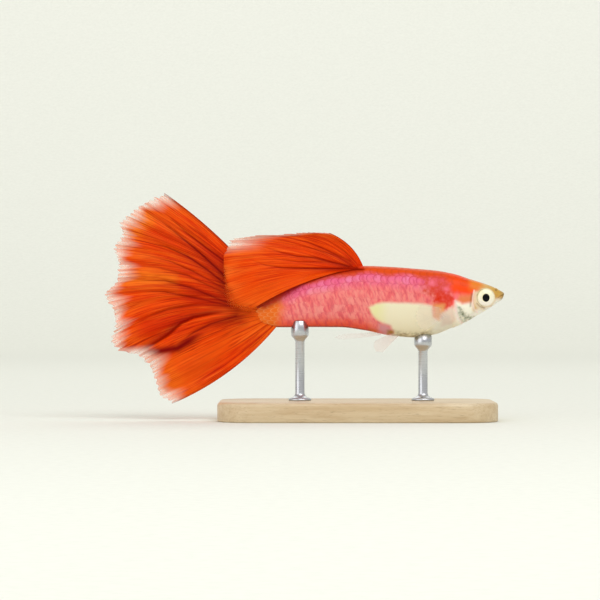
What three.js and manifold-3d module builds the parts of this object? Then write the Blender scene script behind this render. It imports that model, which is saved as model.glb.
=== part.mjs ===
// A male fancy guppy, life size, swimming level on a small display stand.
// Millimetres. +X is forward (the snout), +Z is up, the fish's left side is +Y.
// Heights of the fish are written from its own middle line, and one group lifts them over the floor.

import * as THREE from "three";
import { mergeVertices } from "three/addons/utils/BufferGeometryUtils.js";
import Module from "manifold-3d";

const wasm = await Module();
wasm.setup();

// Driving dimensions
const MIDDLE_LINE_HEIGHT = 15.6;
const MEETING_GAP = 0.3;
const SNOUT_X = 26.13;
const STALK_END_X = -6.75;

// The body's outline: place along the body, back, belly and half width.
const BODY_STATIONS = [
  [SNOUT_X, 0.92, 0.62, 0.34],
  [25.95, 1.06, 0.18, 0.72],
  [25.6, 1.27, -0.16, 0.96],
  [25.0, 1.58, -0.56, 1.22],
  [24.2, 1.93, -1.08, 1.52],
  [22.9, 2.36, -1.88, 1.84],
  [21.3, 2.86, -2.82, 2.1],
  [19.6, 3.4, -3.52, 2.28],
  [17.0, 3.86, -4.52, 2.42],
  [14.7, 4.06, -4.88, 2.45],
  [11.6, 4.3, -4.66, 2.34],
  [8.0, 4.44, -3.95, 2.1],
  [4.8, 4.02, -3.55, 1.84],
  [1.2, 3.34, -3.53, 1.52],
  [-1.8, 2.24, -3.56, 1.2],
  [-3.4, 1.5, -3.56, 0.98],
  [-4.5, 1.0, -3.36, 0.8],
  [-5.5, 0.42, -2.98, 0.6],
  [-6.2, -0.18, -2.52, 0.44],
  [-6.6, -0.72, -2.08, 0.3],
  [STALK_END_X, -1.2, -1.6, 0.16],
];
const WIDEST_HEIGHT = 0.56;
const BACK_SQUARENESS = lineThrough([[-7, 2.1], [8, 2.2], [17, 2.5], [22, 3.0], [26.2, 2.6]]);
const BELLY_SQUARENESS = lineThrough([[-7, 2.1], [8, 2.1], [17, 2.2], [26.2, 2.2]]);
const BODY_RINGS = 46;
const BODY_SIDES = 32;
const RING_CROWDING = 0.75;

// Where the body is parted into head, trunk and stalk, as lines from above the back to below the belly
const REGION_TOP = 6.5;
const GILL_OPENING_LINE = [
  [20.4, REGION_TOP], [20.1, 2.4], [19.95, 1.1], [19.68, -0.6], [19.9, -2.0], [20.4, -2.9],
  [21.0, -REGION_TOP],
];
const STALK_FRONT_X = 2.6;
const REGION_FRONT_X = 30;

// Gill covers, mouth, nostrils and eyes
const GILL_COVER_OUTLINE = [
  [20.25, 1.5], [21.2, 1.75], [22.05, 1.2], [22.25, 0.0], [22.05, -1.2], [21.5, -2.2],
  [20.75, -2.8], [20.2, -2.1], [19.98, -0.6], [20.12, 0.6],
];
const GILL_COVER_RISE = 0.12;
const GILL_COVER_DEPTH = 0.5;
const THROAT_HALF_WIDTH = 0.75;
const JAW_OUTLINE = [[27.2, 0.6], [26.0, 0.42], [25.1, 0.16], [24.75, -0.5], [24.5, -2.2], [27.2, -2.2]];
const LIP_RADIUS = 0.15;
const LIP_CORNER_X = 25.3;
const LIP_FRONT_X = SNOUT_X - 0.16;
const LIP_DROP = 0.3;
const LIP_WIDTH_SHARE = 0.93;
const LIP_LEAST_HALF_WIDTH = 0.3;
const UPPER_LIP_HEIGHT = 0.98;
const LOWER_LIP_HEIGHT = 0.5;
const NOSTRIL_PLACE = new THREE.Vector3(25.05, 0.62, 1.48);
const NOSTRIL_RADIUS = 0.17;
const EYE_CENTRE = new THREE.Vector3(23.66, 1.25, 0.31);
const EYE_RADIUS = 1.15;
const EYE_DEPTH = 0.7;
const EYE_GAP = 0.27;
const EYE_PROFILE = [
  [0, -0.7], [0.62, -0.6], [1.0, -0.34], [1.15, 0], [1.1, 0.24], [0.94, 0.4], [0.62, 0.52],
  [0.56, 0.54], [0.52, 0.64], [0.3, 0.75], [0, 0.79],
];
const EYE_SEGMENTS = 20;

// Fins: thickness is half of the real sheet's, at a ray and between rays
const FIN_RAY_HALF = 0.4;
const FIN_WEB_HALF = 0.26;
const FIN_TIP_HALF = 0.12;
const SMALL_FIN_HALF = 0.27;
const SMALL_RAY_HALF = 0.324;
const FAN_ROUNDING = 0.16;
const FAN_NOTCH = 0.03;

// Tail fin: its rays run from an arc inside the stalk's end to the ragged margin, top first
const TAIL_RAYS = 27;
const TAIL_ROWS = 18;
const TAIL_ROOT_CENTRE = [-3.6, -1.25];
const TAIL_ROOT_RADIUS = 2.1;
const TAIL_ROOT_ANGLES = [72, -98];
const TAIL_MARGIN = [
  [0.0, -18.07, 13.98], [0.06, -20.2, 13.1], [0.13, -22.6, 11.5], [0.2, -24.0, 9.95],
  [0.255, -23.75, 8.5], [0.32, -24.8, 6.9], [0.4, -24.3, 4.7], [0.47, -24.5, 2.5],
  [0.535, -26.13, 0.78], [0.6, -25.1, -1.1], [0.66, -24.75, -3.0], [0.72, -25.1, -5.1],
  [0.765, -24.3, -6.5], [0.8, -21.9, -7.25], [0.845, -20.1, -8.7], [0.895, -19.4, -10.6],
  [0.945, -18.7, -12.5], [1.0, -17.03, -13.57],
];
const TAIL_BOW = lineThrough([[0, -0.75], [0.45, 0.1], [1, 0.95]]);
const TAIL_FOLDS = [
  { at: 0.1, width: 0.03, depth: -0.7 },
  { at: 0.2, width: 0.025, depth: 0.9 },
  { at: 0.28, width: 0.025, depth: -0.8 },
  { at: 0.37, width: 0.03, depth: 0.8 },
  { at: 0.47, width: 0.03, depth: -0.7 },
  { at: 0.57, width: 0.03, depth: 0.8 },
  { at: 0.68, width: 0.03, depth: -0.9 },
  { at: 0.92, width: 0.04, depth: -0.8 },
];
const LOBE_STEP = { at: 0.79, width: 0.022, depth: 1.0 };
const FRAY_LENGTH = 0.32;
const TAIL_RAGGEDNESS = 0.8;

// Dorsal fin: a short root on the back, swept back and draped over the near side
const DORSAL_RAYS = 13;
const DORSAL_ROWS = 22;
const DORSAL_ROOT_FRONT = [8.0, 3.9];
const DORSAL_ROOT_REAR = [4.7, 3.4];
const DORSAL_MARGIN = [
  [0.0, 3.51, 8.71], [0.1, 0.39, 8.8], [0.22, -4.07, 8.53], [0.34, -8.55, 8.16], [0.42, -10.05, 7.28],
  [0.52, -10.3, 5.2], [0.66, -10.2, 2.6], [0.8, -10.0, 0.3], [0.9, -8.9, -1.15], [1.0, -6.9, -1.56],
];
const DORSAL_BOW = lineThrough([[0, 0.75], [0.2, 1.5], [0.45, 1.1], [1, 0.15]]);
const DORSAL_RAGGEDNESS = 0.5;
const DORSAL_SIDE_CLEARANCE = 0.68;
const DORSAL_LEAST_SIDE = 1.62;
const DORSAL_THINNESS = 0.9;
// The share of a ray's length over which it swings from upright to the near side
const DORSAL_TURN_LENGTH = lineThrough([
  [0, 3.0], [0.35, 1.6], [0.5, 0.95], [0.7, 0.6], [0.85, 0.3], [1, 0.2],
]);

// Stand: a flat base and two short rods up to the belly
const BASE_LENGTH = 36;
const BASE_WIDTH = 22;
const BASE_THICKNESS = 2.5;
const BASE_CORNER = 5;
const BASE_BEVEL = 0.35;
const BASE_CENTRE_X = 7;
const ROD_RADIUS = 0.6;
const ROD_FOOT_RADIUS = 1.5;
const ROD_FOOT_HEIGHT = 0.7;
const ROD_CRADLE_RADIUS = 1.15;
const ROD_CRADLE_HEIGHT = 1.1;
const ROD_CRADLE_FLARE = 0.6;
const ROD_CRADLE_REACH = 0.8;
const ROD_FOOT_EDGE_SHARE = 0.4;
const ROD_PLACES = { stand_rod_front: 15.6, stand_rod_rear: -0.4 };

// A smooth line through points that never overshoots them: points are [place, value]
function lineThrough(points) {
  const sorted = [...points].sort((a, b) => a[0] - b[0]);
  const last = sorted.length - 1;
  const rise = [];
  for (let i = 0; i < last; i++) {
    rise.push((sorted[i + 1][1] - sorted[i][1]) / (sorted[i + 1][0] - sorted[i][0]));
  }
  const slope = sorted.map((_, i) => {
    if (i === 0) return rise[0];
    if (i === last) return rise[last - 1];
    const [before, after] = [rise[i - 1], rise[i]];
    return before * after <= 0 ? 0 : (2 * before * after) / (before + after);
  });
  return (place) => {
    const x = Math.min(Math.max(place, sorted[0][0]), sorted[last][0]);
    let i = 0;
    while (i < last - 1 && x > sorted[i + 1][0]) i++;
    const width = sorted[i + 1][0] - sorted[i][0];
    const t = (x - sorted[i][0]) / width;
    const [a, b] = [sorted[i][1], sorted[i + 1][1]];
    return a * (1 + 2 * t) * (1 - t) ** 2 + b * t * t * (3 - 2 * t)
      + width * (slope[i] * t * (1 - t) ** 2 - slope[i + 1] * t * t * (1 - t));
  };
}

const smoothStep = (t) => THREE.MathUtils.smoothstep(t, 0, 1);

// Seeded draws, so that the ragged margins come out the same each time
function seededDraw(seed) {
  let state = seed;
  return () => {
    state = (state * 1664525 + 1013904223) % 4294967296;
    return state / 4294967296;
  };
}

// Solids
function asSolid(geometry) {
  const bare = geometry.clone();
  bare.deleteAttribute("normal");
  bare.deleteAttribute("uv");
  const merged = mergeVertices(bare, 1e-4);
  return new wasm.Manifold(new wasm.Mesh({
    numProp: 3,
    vertProperties: new Float32Array(merged.attributes.position.array),
    triVerts: new Uint32Array(merged.index.array),
  }));
}

function asGeometry(solid) {
  const pieces = solid.decompose().sort((a, b) => b.volume() - a.volume());
  const mesh = pieces[0].getMesh();
  const geometry = new THREE.BufferGeometry();
  geometry.setAttribute("position", new THREE.BufferAttribute(new Float32Array(mesh.vertProperties), 3));
  geometry.setIndex(new THREE.BufferAttribute(new Uint32Array(mesh.triVerts), 1));
  geometry.computeVertexNormals();
  return geometry;
}

function facingOut(positions, index) {
  let volume = 0;
  const corner = (k) => new THREE.Vector3().fromArray(positions, index[k] * 3);
  for (let k = 0; k < index.length; k += 3) {
    volume += corner(k).dot(corner(k + 1).cross(corner(k + 2)));
  }
  if (volume < 0) {
    for (let k = 0; k < index.length; k += 3) {
      [index[k], index[k + 1]] = [index[k + 1], index[k]];
    }
  }
  const geometry = new THREE.BufferGeometry();
  geometry.setAttribute("position", new THREE.Float32BufferAttribute(positions, 3));
  geometry.setIndex(index);
  return geometry;
}

// An outline in the side view, cut straight through from one side to the other
function sidePrism(outline, nearY, farY) {
  const shape = new THREE.Shape(outline.map(([x, z]) => new THREE.Vector2(x, z)));
  const geometry = new THREE.ExtrudeGeometry(shape, { depth: farY - nearY, bevelEnabled: false });
  geometry.rotateX(Math.PI / 2);
  geometry.translate(0, farY, 0);
  return asSolid(geometry);
}

// The same outline, moved outwards all round by one distance
function grownOutline(outline, distance) {
  const turn = Math.sign(THREE.ShapeUtils.area(outline.map(([x, z]) => ({ x, y: z }))));
  const count = outline.length;
  return outline.map(([x, z], i) => {
    const [bx, bz] = outline[(i + count - 1) % count];
    const [ax, az] = outline[(i + 1) % count];
    const before = new THREE.Vector2(z - bz, bx - x).normalize();
    const after = new THREE.Vector2(az - z, x - ax).normalize();
    const out = before.add(after).normalize().multiplyScalar(turn * distance);
    return [x + out.x, z + out.y];
  });
}

// Body
const backLine = lineThrough(BODY_STATIONS.map(([x, back]) => [x, back]));
const bellyLine = lineThrough(BODY_STATIONS.map(([x, , belly]) => [x, belly]));
const halfWidthLine = lineThrough(BODY_STATIONS.map(([x, , , half]) => [x, half]));

function bodyPoint(x, angle, grow) {
  const [back, belly] = [backLine(x) + grow, bellyLine(x) - grow];
  const widest = belly + WIDEST_HEIGHT * (back - belly);
  const [across, up] = [Math.cos(angle), Math.sin(angle)];
  const power = 2 / (up > 0 ? BACK_SQUARENESS(x) : BELLY_SQUARENESS(x));
  const reach = up > 0 ? back - widest : widest - belly;
  const middle = (SNOUT_X + STALK_END_X) / 2;
  const stretch = 1 + (2 * grow) / (SNOUT_X - STALK_END_X);
  return [
    middle + (x - middle) * stretch,
    Math.sign(across) * Math.abs(across) ** power * Math.max(halfWidthLine(x) + grow, 0.05),
    widest + Math.sign(up) * Math.abs(up) ** power * reach,
  ];
}

// The whole body, made larger or smaller all round by grow
function bodySolid(grow) {
  const positions = [];
  const index = [];
  const length = SNOUT_X - STALK_END_X;
  for (let ring = 0; ring <= BODY_RINGS; ring++) {
    const t = ring / BODY_RINGS;
    const x = SNOUT_X - length * (t - RING_CROWDING * Math.sin(2 * Math.PI * t) / (2 * Math.PI));
    for (let side = 0; side < BODY_SIDES; side++) {
      positions.push(...bodyPoint(x, (2 * Math.PI * side) / BODY_SIDES, grow));
    }
  }
  for (let ring = 0; ring < BODY_RINGS; ring++) {
    for (let side = 0; side < BODY_SIDES; side++) {
      const a = ring * BODY_SIDES + side;
      const b = ring * BODY_SIDES + ((side + 1) % BODY_SIDES);
      index.push(a, b, b + BODY_SIDES, a, b + BODY_SIDES, a + BODY_SIDES);
    }
  }
  for (const ring of [0, BODY_RINGS]) {
    const centre = positions.length / 3;
    const first = ring * BODY_SIDES;
    const ends = [first, first + BODY_SIDES / 2].map((k) => positions.slice(k * 3, k * 3 + 3));
    positions.push(ends[0][0], 0, (ends[0][2] + ends[1][2]) / 2);
    for (let side = 0; side < BODY_SIDES; side++) {
      const pair = [first + side, first + ((side + 1) % BODY_SIDES)];
      index.push(...(ring === 0 ? [pair[1], pair[0]] : pair), centre);
    }
  }
  return asSolid(facingOut(positions, index));
}

// Half the body's width at a height, nothing above the back
function bodyHalfWidthAt(x, z) {
  const [back, belly] = [backLine(x), bellyLine(x)];
  const widest = belly + WIDEST_HEIGHT * (back - belly);
  const reach = z > widest ? back - widest : widest - belly;
  const share = Math.min(Math.abs(z - widest) / reach, 1);
  const power = z > widest ? BACK_SQUARENESS(x) : BELLY_SQUARENESS(x);
  return halfWidthLine(x) * (1 - share ** power) ** (1 / power);
}

const wholeBody = bodySolid(0);
const bodyClearance = bodySolid(MEETING_GAP);

const HIGH = 9;
const BEHIND = STALK_END_X - 3;
const halfGap = MEETING_GAP / 2;
const gillLineAt = (shift) => GILL_OPENING_LINE.map(([x, z]) => [x + shift, z]);
const upright = (x) => [[x, -REGION_TOP], [x, REGION_TOP]];
const headRegion = sidePrism([...gillLineAt(halfGap), ...upright(REGION_FRONT_X)], -HIGH, HIGH);
const trunkRegion = sidePrism([...gillLineAt(-halfGap), ...upright(STALK_FRONT_X + halfGap)], -HIGH, HIGH);
const stalkRegion = sidePrism(
  [...upright(STALK_FRONT_X - halfGap), ...upright(BEHIND).reverse()],
  -HIGH, HIGH,
);

// Lips: one bead round the upper jaw and one round the lower, from corner to corner
function lipBead(height) {
  const points = [];
  const steps = 10;
  for (let i = 0; i <= steps; i++) {
    const angle = Math.PI * (i / steps - 0.5);
    const x = LIP_CORNER_X + (LIP_FRONT_X - LIP_CORNER_X) * Math.cos(angle);
    const half = LIP_WIDTH_SHARE * Math.max(bodyHalfWidthAt(x, height), LIP_LEAST_HALF_WIDTH);
    points.push(new THREE.Vector3(x, half * Math.sin(angle), height - LIP_DROP * (1 - Math.cos(angle))));
  }
  const path = new THREE.CatmullRomCurve3(points);
  const ring = new THREE.Shape().absarc(0, 0, LIP_RADIUS, 0, 2 * Math.PI, false);
  const geometry = new THREE.ExtrudeGeometry(ring, { steps: 14, curveSegments: 4, extrudePath: path });
  return asSolid(geometry);
}

function socket(side) {
  const geometry = new THREE.SphereGeometry(1, 20, 14);
  geometry.scale(EYE_RADIUS + EYE_GAP, EYE_DEPTH + MEETING_GAP, EYE_RADIUS + EYE_GAP);
  geometry.translate(EYE_CENTRE.x, side * EYE_CENTRE.y, EYE_CENTRE.z);
  return asSolid(geometry);
}

function nostril(side) {
  const geometry = new THREE.SphereGeometry(NOSTRIL_RADIUS, 8, 6);
  geometry.translate(NOSTRIL_PLACE.x, side * NOSTRIL_PLACE.y, NOSTRIL_PLACE.z);
  return asSolid(geometry);
}

// From a distance off the middle plane out past the flank, on one side
const sideRange = (side, inner) => (side > 0 ? [inner, HIGH] : [-HIGH, -inner]);

const jawRegion = sidePrism(JAW_OUTLINE, -HIGH, HIGH);
const jawClearance = sidePrism(grownOutline(JAW_OUTLINE, MEETING_GAP), -HIGH, HIGH);
const upperLip = lipBead(UPPER_LIP_HEIGHT);
const lowerLip = lipBead(LOWER_LIP_HEIGHT);

function headSolid() {
  let head = wholeBody.intersect(headRegion).add(upperLip).subtract(jawClearance);
  const underCover = bodySolid(-GILL_COVER_DEPTH - MEETING_GAP);
  for (const side of [-1, 1]) {
    const recess = sidePrism(grownOutline(GILL_COVER_OUTLINE, MEETING_GAP),
      ...sideRange(side, THROAT_HALF_WIDTH - MEETING_GAP));
    head = head.subtract(recess.subtract(underCover)).subtract(socket(side)).subtract(nostril(side));
  }
  return head;
}

function gillCoverSolid(side) {
  const region = sidePrism(GILL_COVER_OUTLINE, ...sideRange(side, THROAT_HALF_WIDTH));
  return bodySolid(GILL_COVER_RISE).intersect(region).subtract(bodySolid(-GILL_COVER_DEPTH));
}

const jawSolid = () => wholeBody.intersect(headRegion).add(lowerLip).intersect(jawRegion);

// Eye: a flat cornea-less disc of iris with the pupil standing on it as a low dome
function eyeGeometry(side) {
  const profile = EYE_PROFILE.map(([radius, out]) => new THREE.Vector2(radius, out));
  const geometry = new THREE.LatheGeometry(profile, EYE_SEGMENTS);
  if (side < 0) geometry.rotateX(Math.PI);
  return asGeometry(asSolid(geometry));
}

// A fin as a thin sheet: both faces carry the same grid and the same diagonals
function finSheet(columns, rows, middle, halfThickness, across = new THREE.Vector3(0, 1, 0)) {
  const positions = [];
  const index = [];
  const corner = (face, i, j) => (face * (columns + 1) + i) * (rows + 1) + j;
  for (const face of [0, 1]) {
    for (let i = 0; i <= columns; i++) {
      for (let j = 0; j <= rows; j++) {
        const half = halfThickness(i, j / rows) * (face ? 1 : -1);
        positions.push(...middle(i / columns, j / rows, i).addScaledVector(across, half).toArray());
      }
    }
  }
  const quad = (a, b, c, d) => index.push(a, b, c, a, c, d);
  for (let i = 0; i < columns; i++) {
    for (let j = 0; j < rows; j++) {
      quad(corner(0, i, j), corner(0, i + 1, j), corner(0, i + 1, j + 1), corner(0, i, j + 1));
      index.push(corner(1, i, j), corner(1, i + 1, j + 1), corner(1, i + 1, j));
      index.push(corner(1, i, j), corner(1, i, j + 1), corner(1, i + 1, j + 1));
    }
  }
  for (let i = 0; i < columns; i++) {
    quad(corner(1, i, 0), corner(1, i + 1, 0), corner(0, i + 1, 0), corner(0, i, 0));
    quad(corner(0, i, rows), corner(0, i + 1, rows), corner(1, i + 1, rows), corner(1, i, rows));
  }
  for (let j = 0; j < rows; j++) {
    quad(corner(0, 0, j), corner(0, 0, j + 1), corner(1, 0, j + 1), corner(1, 0, j));
    quad(corner(1, columns, j), corner(1, columns, j + 1), corner(0, columns, j + 1), corner(0, columns, j));
  }
  return facingOut(positions, index);
}

// A ray as a gentle curve from root to tip, bowed to one side of the straight line
function alongRay(root, tip, bow, t) {
  const [dx, dz] = [tip[0] - root[0], tip[1] - root[1]];
  const length = Math.hypot(dx, dz);
  const lift = 4 * t * (1 - t) * bow;
  return [root[0] + dx * t - (lift * dz) / length, root[1] + dz * t + (lift * dx) / length];
}

// How far each ray and web stops short of the margin: webs more than rays, the two edges not at all
function frayedMargin(columns, raggedness, seed) {
  const draw = seededDraw(seed);
  return Array.from({ length: columns + 1 }, (_, i) => {
    const short = FRAY_LENGTH * ((i % 2 ? 0 : 1) + raggedness * draw());
    return i === 0 || i === columns ? 0 : short;
  });
}

function shortOf(root, margin, distance) {
  const kept = 1 - distance / Math.hypot(margin[0] - root[0], margin[1] - root[1]);
  return root.map((start, k) => THREE.MathUtils.lerp(start, margin[k], kept));
}

// Thickness along a ray or web: full at the root, thin at the tip
const taperedHalf = (half, t) => THREE.MathUtils.lerp(half, FIN_TIP_HALF, smoothStep((t - 0.55) / 0.45));

// Tail fin
const tailMarginX = lineThrough(TAIL_MARGIN.map(([u, x]) => [u, x]));
const tailMarginZ = lineThrough(TAIL_MARGIN.map(([u, , z]) => [u, z]));

function tailSide(u, t) {
  let y = LOBE_STEP.depth * t * t * Math.tanh((u - LOBE_STEP.at) / LOBE_STEP.width);
  for (const fold of TAIL_FOLDS) {
    y += fold.depth * t * t * Math.exp(-(((u - fold.at) / fold.width) ** 2));
  }
  return y;
}

function tailFinSolid() {
  const columns = 2 * TAIL_RAYS;
  const fray = frayedMargin(columns, TAIL_RAGGEDNESS, 11);
  const middle = (u, t, i) => {
    const angle = THREE.MathUtils.degToRad(THREE.MathUtils.lerp(...TAIL_ROOT_ANGLES, u));
    const root = [
      TAIL_ROOT_CENTRE[0] - TAIL_ROOT_RADIUS * Math.cos(angle),
      TAIL_ROOT_CENTRE[1] + TAIL_ROOT_RADIUS * Math.sin(angle),
    ];
    const tip = shortOf(root, [tailMarginX(u), tailMarginZ(u)], fray[i]);
    const [x, z] = alongRay(root, tip, TAIL_BOW(u), t);
    return new THREE.Vector3(x, tailSide(u, t), z);
  };
  const half = (i, t) => taperedHalf(i % 2 ? FIN_RAY_HALF : FIN_WEB_HALF, t);
  return asSolid(finSheet(columns, TAIL_ROWS, middle, half)).subtract(bodyClearance);
}

// Dorsal fin
const dorsalMarginX = lineThrough(DORSAL_MARGIN.map(([u, x]) => [u, x]));
const dorsalMarginZ = lineThrough(DORSAL_MARGIN.map(([u, , z]) => [u, z]));

// How far a ray has swung out to the near side: upper rays hardly, lower rays at once
function dorsalSide(x, u, t) {
  const reach = Math.max(halfWidthLine(x) + DORSAL_SIDE_CLEARANCE, DORSAL_LEAST_SIDE);
  return -reach * smoothStep(t / DORSAL_TURN_LENGTH(u));
}

function dorsalFinSolid() {
  const columns = 2 * DORSAL_RAYS;
  const fray = frayedMargin(columns, DORSAL_RAGGEDNESS, 23);
  const middle = (u, t, i) => {
    const root = [
      THREE.MathUtils.lerp(DORSAL_ROOT_FRONT[0], DORSAL_ROOT_REAR[0], u),
      THREE.MathUtils.lerp(DORSAL_ROOT_FRONT[1], DORSAL_ROOT_REAR[1], u),
    ];
    const tip = shortOf(root, [dorsalMarginX(u), dorsalMarginZ(u)], fray[i]);
    const [x, z] = alongRay(root, tip, -DORSAL_BOW(u), t);
    return new THREE.Vector3(x, dorsalSide(x, u, t), z);
  };
  const half = (i, t) => DORSAL_THINNESS * taperedHalf(i % 2 ? FIN_RAY_HALF : FIN_WEB_HALF, t);
  return asSolid(finSheet(columns, DORSAL_ROWS, middle, half)).subtract(bodyClearance);
}

// Small fins: a fan of rays in its own plane, turned to its place and cut clear of the body
function smallFan({ rays, rows, length, spread, rootWidth, base, direction, up, cup }) {
  const columns = 2 * rays;
  const forward = new THREE.Vector3(...direction).normalize();
  const across = new THREE.Vector3(...up).cross(forward).normalize();
  const upward = forward.clone().cross(across).normalize();
  const middle = (u, t, i) => {
    const angle = THREE.MathUtils.degToRad(spread * (0.5 - u));
    const rounded = 1 - FAN_ROUNDING * (2 * u - 1) ** 2 - (i % 2 ? 0 : FAN_NOTCH);
    const reach = length * t * rounded;
    const point = new THREE.Vector3(...base);
    point.addScaledVector(forward, reach * Math.cos(angle));
    point.addScaledVector(upward, reach * Math.sin(angle) + rootWidth * (0.5 - u));
    return point.addScaledVector(across, cup * t * t);
  };
  const half = (i, t) => {
    const full = i % 2 ? SMALL_RAY_HALF : SMALL_FIN_HALF;
    return THREE.MathUtils.lerp(full, FIN_TIP_HALF, smoothStep(2 * t - 1));
  };
  return asSolid(finSheet(columns, rows, middle, half, across)).subtract(bodyClearance);
}

const PECTORAL_FIN = {
  rays: 6, rows: 7, length: 5.4, spread: 40, rootWidth: 0.9, cup: -0.5,
  base: [18.9, 1.75, -1.5], direction: [-0.93, 0.36, -0.2], up: [-0.15, 0.1, 1],
};
const PELVIC_FIN = {
  rays: 4, rows: 6, length: 4.5, spread: 26, rootWidth: 0.7, cup: 0,
  base: [12.6, 0.62, -4.1], direction: [-0.86, 0.2, -0.62], up: [-0.6, 0, 1],
};
const GONOPODIUM = {
  rays: 2, rows: 7, length: 6.3, spread: 5, rootWidth: 0.5, cup: 0,
  base: [10.1, 0, -4.35], direction: [-0.995, 0, -0.09], up: [0, 0, 1],
};

function mirroredFan(fan, side) {
  const flip = ([x, y, z]) => [x, side * y, z];
  const turned = { base: flip(fan.base), direction: flip(fan.direction), up: flip(fan.up) };
  return { ...fan, ...turned, cup: side * fan.cup };
}

// Stand
const floorLevel = -MIDDLE_LINE_HEIGHT;

function baseGeometry() {
  const [halfLength, halfWidth] = [BASE_LENGTH / 2 - BASE_BEVEL, BASE_WIDTH / 2 - BASE_BEVEL];
  const corner = BASE_CORNER - BASE_BEVEL;
  const shape = new THREE.Shape();
  shape.absarc(halfLength - corner, halfWidth - corner, corner, 0, Math.PI / 2, false);
  shape.absarc(-halfLength + corner, halfWidth - corner, corner, Math.PI / 2, Math.PI, false);
  shape.absarc(-halfLength + corner, -halfWidth + corner, corner, Math.PI, 1.5 * Math.PI, false);
  shape.absarc(halfLength - corner, -halfWidth + corner, corner, 1.5 * Math.PI, 2 * Math.PI, false);
  const geometry = new THREE.ExtrudeGeometry(shape, {
    depth: BASE_THICKNESS - 2 * BASE_BEVEL,
    bevelEnabled: true,
    bevelThickness: BASE_BEVEL,
    bevelSize: BASE_BEVEL,
    bevelSegments: 2,
    curveSegments: 7,
  });
  geometry.translate(BASE_CENTRE_X, 0, floorLevel + BASE_BEVEL);
  return asGeometry(asSolid(geometry));
}

function rodSolid(x) {
  const foot = floorLevel + BASE_THICKNESS + MEETING_GAP;
  const top = bellyLine(x) + ROD_CRADLE_REACH;
  const cradle = bellyLine(x) - ROD_CRADLE_HEIGHT;
  const profile = [
    [0, foot], [ROD_FOOT_RADIUS, foot],
    [ROD_FOOT_RADIUS, foot + ROD_FOOT_EDGE_SHARE * ROD_FOOT_HEIGHT],
    [ROD_RADIUS, foot + ROD_FOOT_HEIGHT], [ROD_RADIUS, cradle - ROD_CRADLE_FLARE],
    [ROD_CRADLE_RADIUS, cradle], [ROD_CRADLE_RADIUS, top], [0, top],
  ].map(([radius, height]) => new THREE.Vector2(radius, height));
  const geometry = new THREE.LatheGeometry(profile, 20);
  geometry.rotateX(Math.PI / 2);
  geometry.translate(x, 0, 0);
  return asSolid(geometry).subtract(bodyClearance);
}

// Assembly
const fish = new THREE.Group();
fish.position.z = MIDDLE_LINE_HEIGHT;

function addPart(name, geometry, color, roughness, metalness = 0) {
  const material = new THREE.MeshStandardMaterial({ color, roughness, metalness });
  const mesh = new THREE.Mesh(geometry, material);
  mesh.name = name;
  fish.add(mesh);
  return mesh;
}

const SKIN_PINK = 0xe8607a;
const SKIN_GOLD = 0xc9973f;
const STALK_ORANGE = 0xe96a3a;
const FIN_RED = 0xd9401a;
const FIN_CLEAR = 0xe9e2d4;
const GILL_SILVER = 0xd8cdb8;
const IRIS_CREAM = 0xefe6c4;
const BASE_MAPLE = 0xd9c19a;
const ROD_STEEL = 0xb9bcc0;

addPart("head", asGeometry(headSolid()), SKIN_GOLD, 0.4);
addPart("lower_jaw", asGeometry(jawSolid()), SKIN_GOLD, 0.4);
addPart("trunk", asGeometry(wholeBody.intersect(trunkRegion)), SKIN_PINK, 0.4);
addPart("tail_stalk", asGeometry(wholeBody.intersect(stalkRegion)), STALK_ORANGE, 0.4);
addPart("tail_fin", asGeometry(tailFinSolid()), FIN_RED, 0.45);
addPart("dorsal_fin", asGeometry(dorsalFinSolid()), FIN_RED, 0.45);
addPart("gonopodium", asGeometry(smallFan(GONOPODIUM)), FIN_CLEAR, 0.4);

for (const [word, side] of [["left", 1], ["right", -1]]) {
  addPart(`gill_cover_${word}`, asGeometry(gillCoverSolid(side)), GILL_SILVER, 0.3);
  const eye = addPart(`eye_${word}`, eyeGeometry(side), IRIS_CREAM, 0.15);
  eye.position.set(EYE_CENTRE.x, side * EYE_CENTRE.y, EYE_CENTRE.z);
  addPart(`pectoral_fin_${word}`, asGeometry(smallFan(mirroredFan(PECTORAL_FIN, side))), FIN_CLEAR, 0.4);
  addPart(`pelvic_fin_${word}`, asGeometry(smallFan(mirroredFan(PELVIC_FIN, side))), FIN_CLEAR, 0.4);
}

addPart("stand_base", baseGeometry(), BASE_MAPLE, 0.5);
for (const [name, x] of Object.entries(ROD_PLACES)) {
  addPart(name, asGeometry(rodSolid(x)), ROD_STEEL, 0.3, 0.9);
}

const group = new THREE.Group();
group.add(fish);

export default group;
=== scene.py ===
import math

import bmesh
import bpy
import numpy as np
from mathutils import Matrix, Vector


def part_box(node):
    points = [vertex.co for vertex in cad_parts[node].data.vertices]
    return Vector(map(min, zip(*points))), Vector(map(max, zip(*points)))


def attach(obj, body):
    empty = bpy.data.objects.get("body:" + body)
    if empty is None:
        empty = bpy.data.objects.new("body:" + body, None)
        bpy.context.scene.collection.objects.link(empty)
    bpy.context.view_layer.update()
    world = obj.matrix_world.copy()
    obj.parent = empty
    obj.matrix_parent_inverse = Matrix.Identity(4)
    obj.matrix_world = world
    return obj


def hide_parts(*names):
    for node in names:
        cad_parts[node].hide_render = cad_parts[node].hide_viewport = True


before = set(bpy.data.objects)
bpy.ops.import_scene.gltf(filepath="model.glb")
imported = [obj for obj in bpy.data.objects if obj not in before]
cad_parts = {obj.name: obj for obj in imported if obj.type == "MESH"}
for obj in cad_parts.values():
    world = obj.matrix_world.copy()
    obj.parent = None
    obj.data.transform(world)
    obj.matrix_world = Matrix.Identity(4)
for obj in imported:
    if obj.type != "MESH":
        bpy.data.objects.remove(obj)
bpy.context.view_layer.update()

# A male fancy guppy, life size, on a small stand. Blender works in metres and the animal's
# sizes are easier to read in millimetres, so shapes are worked out in mm and scaled once.
MM = 0.001

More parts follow.
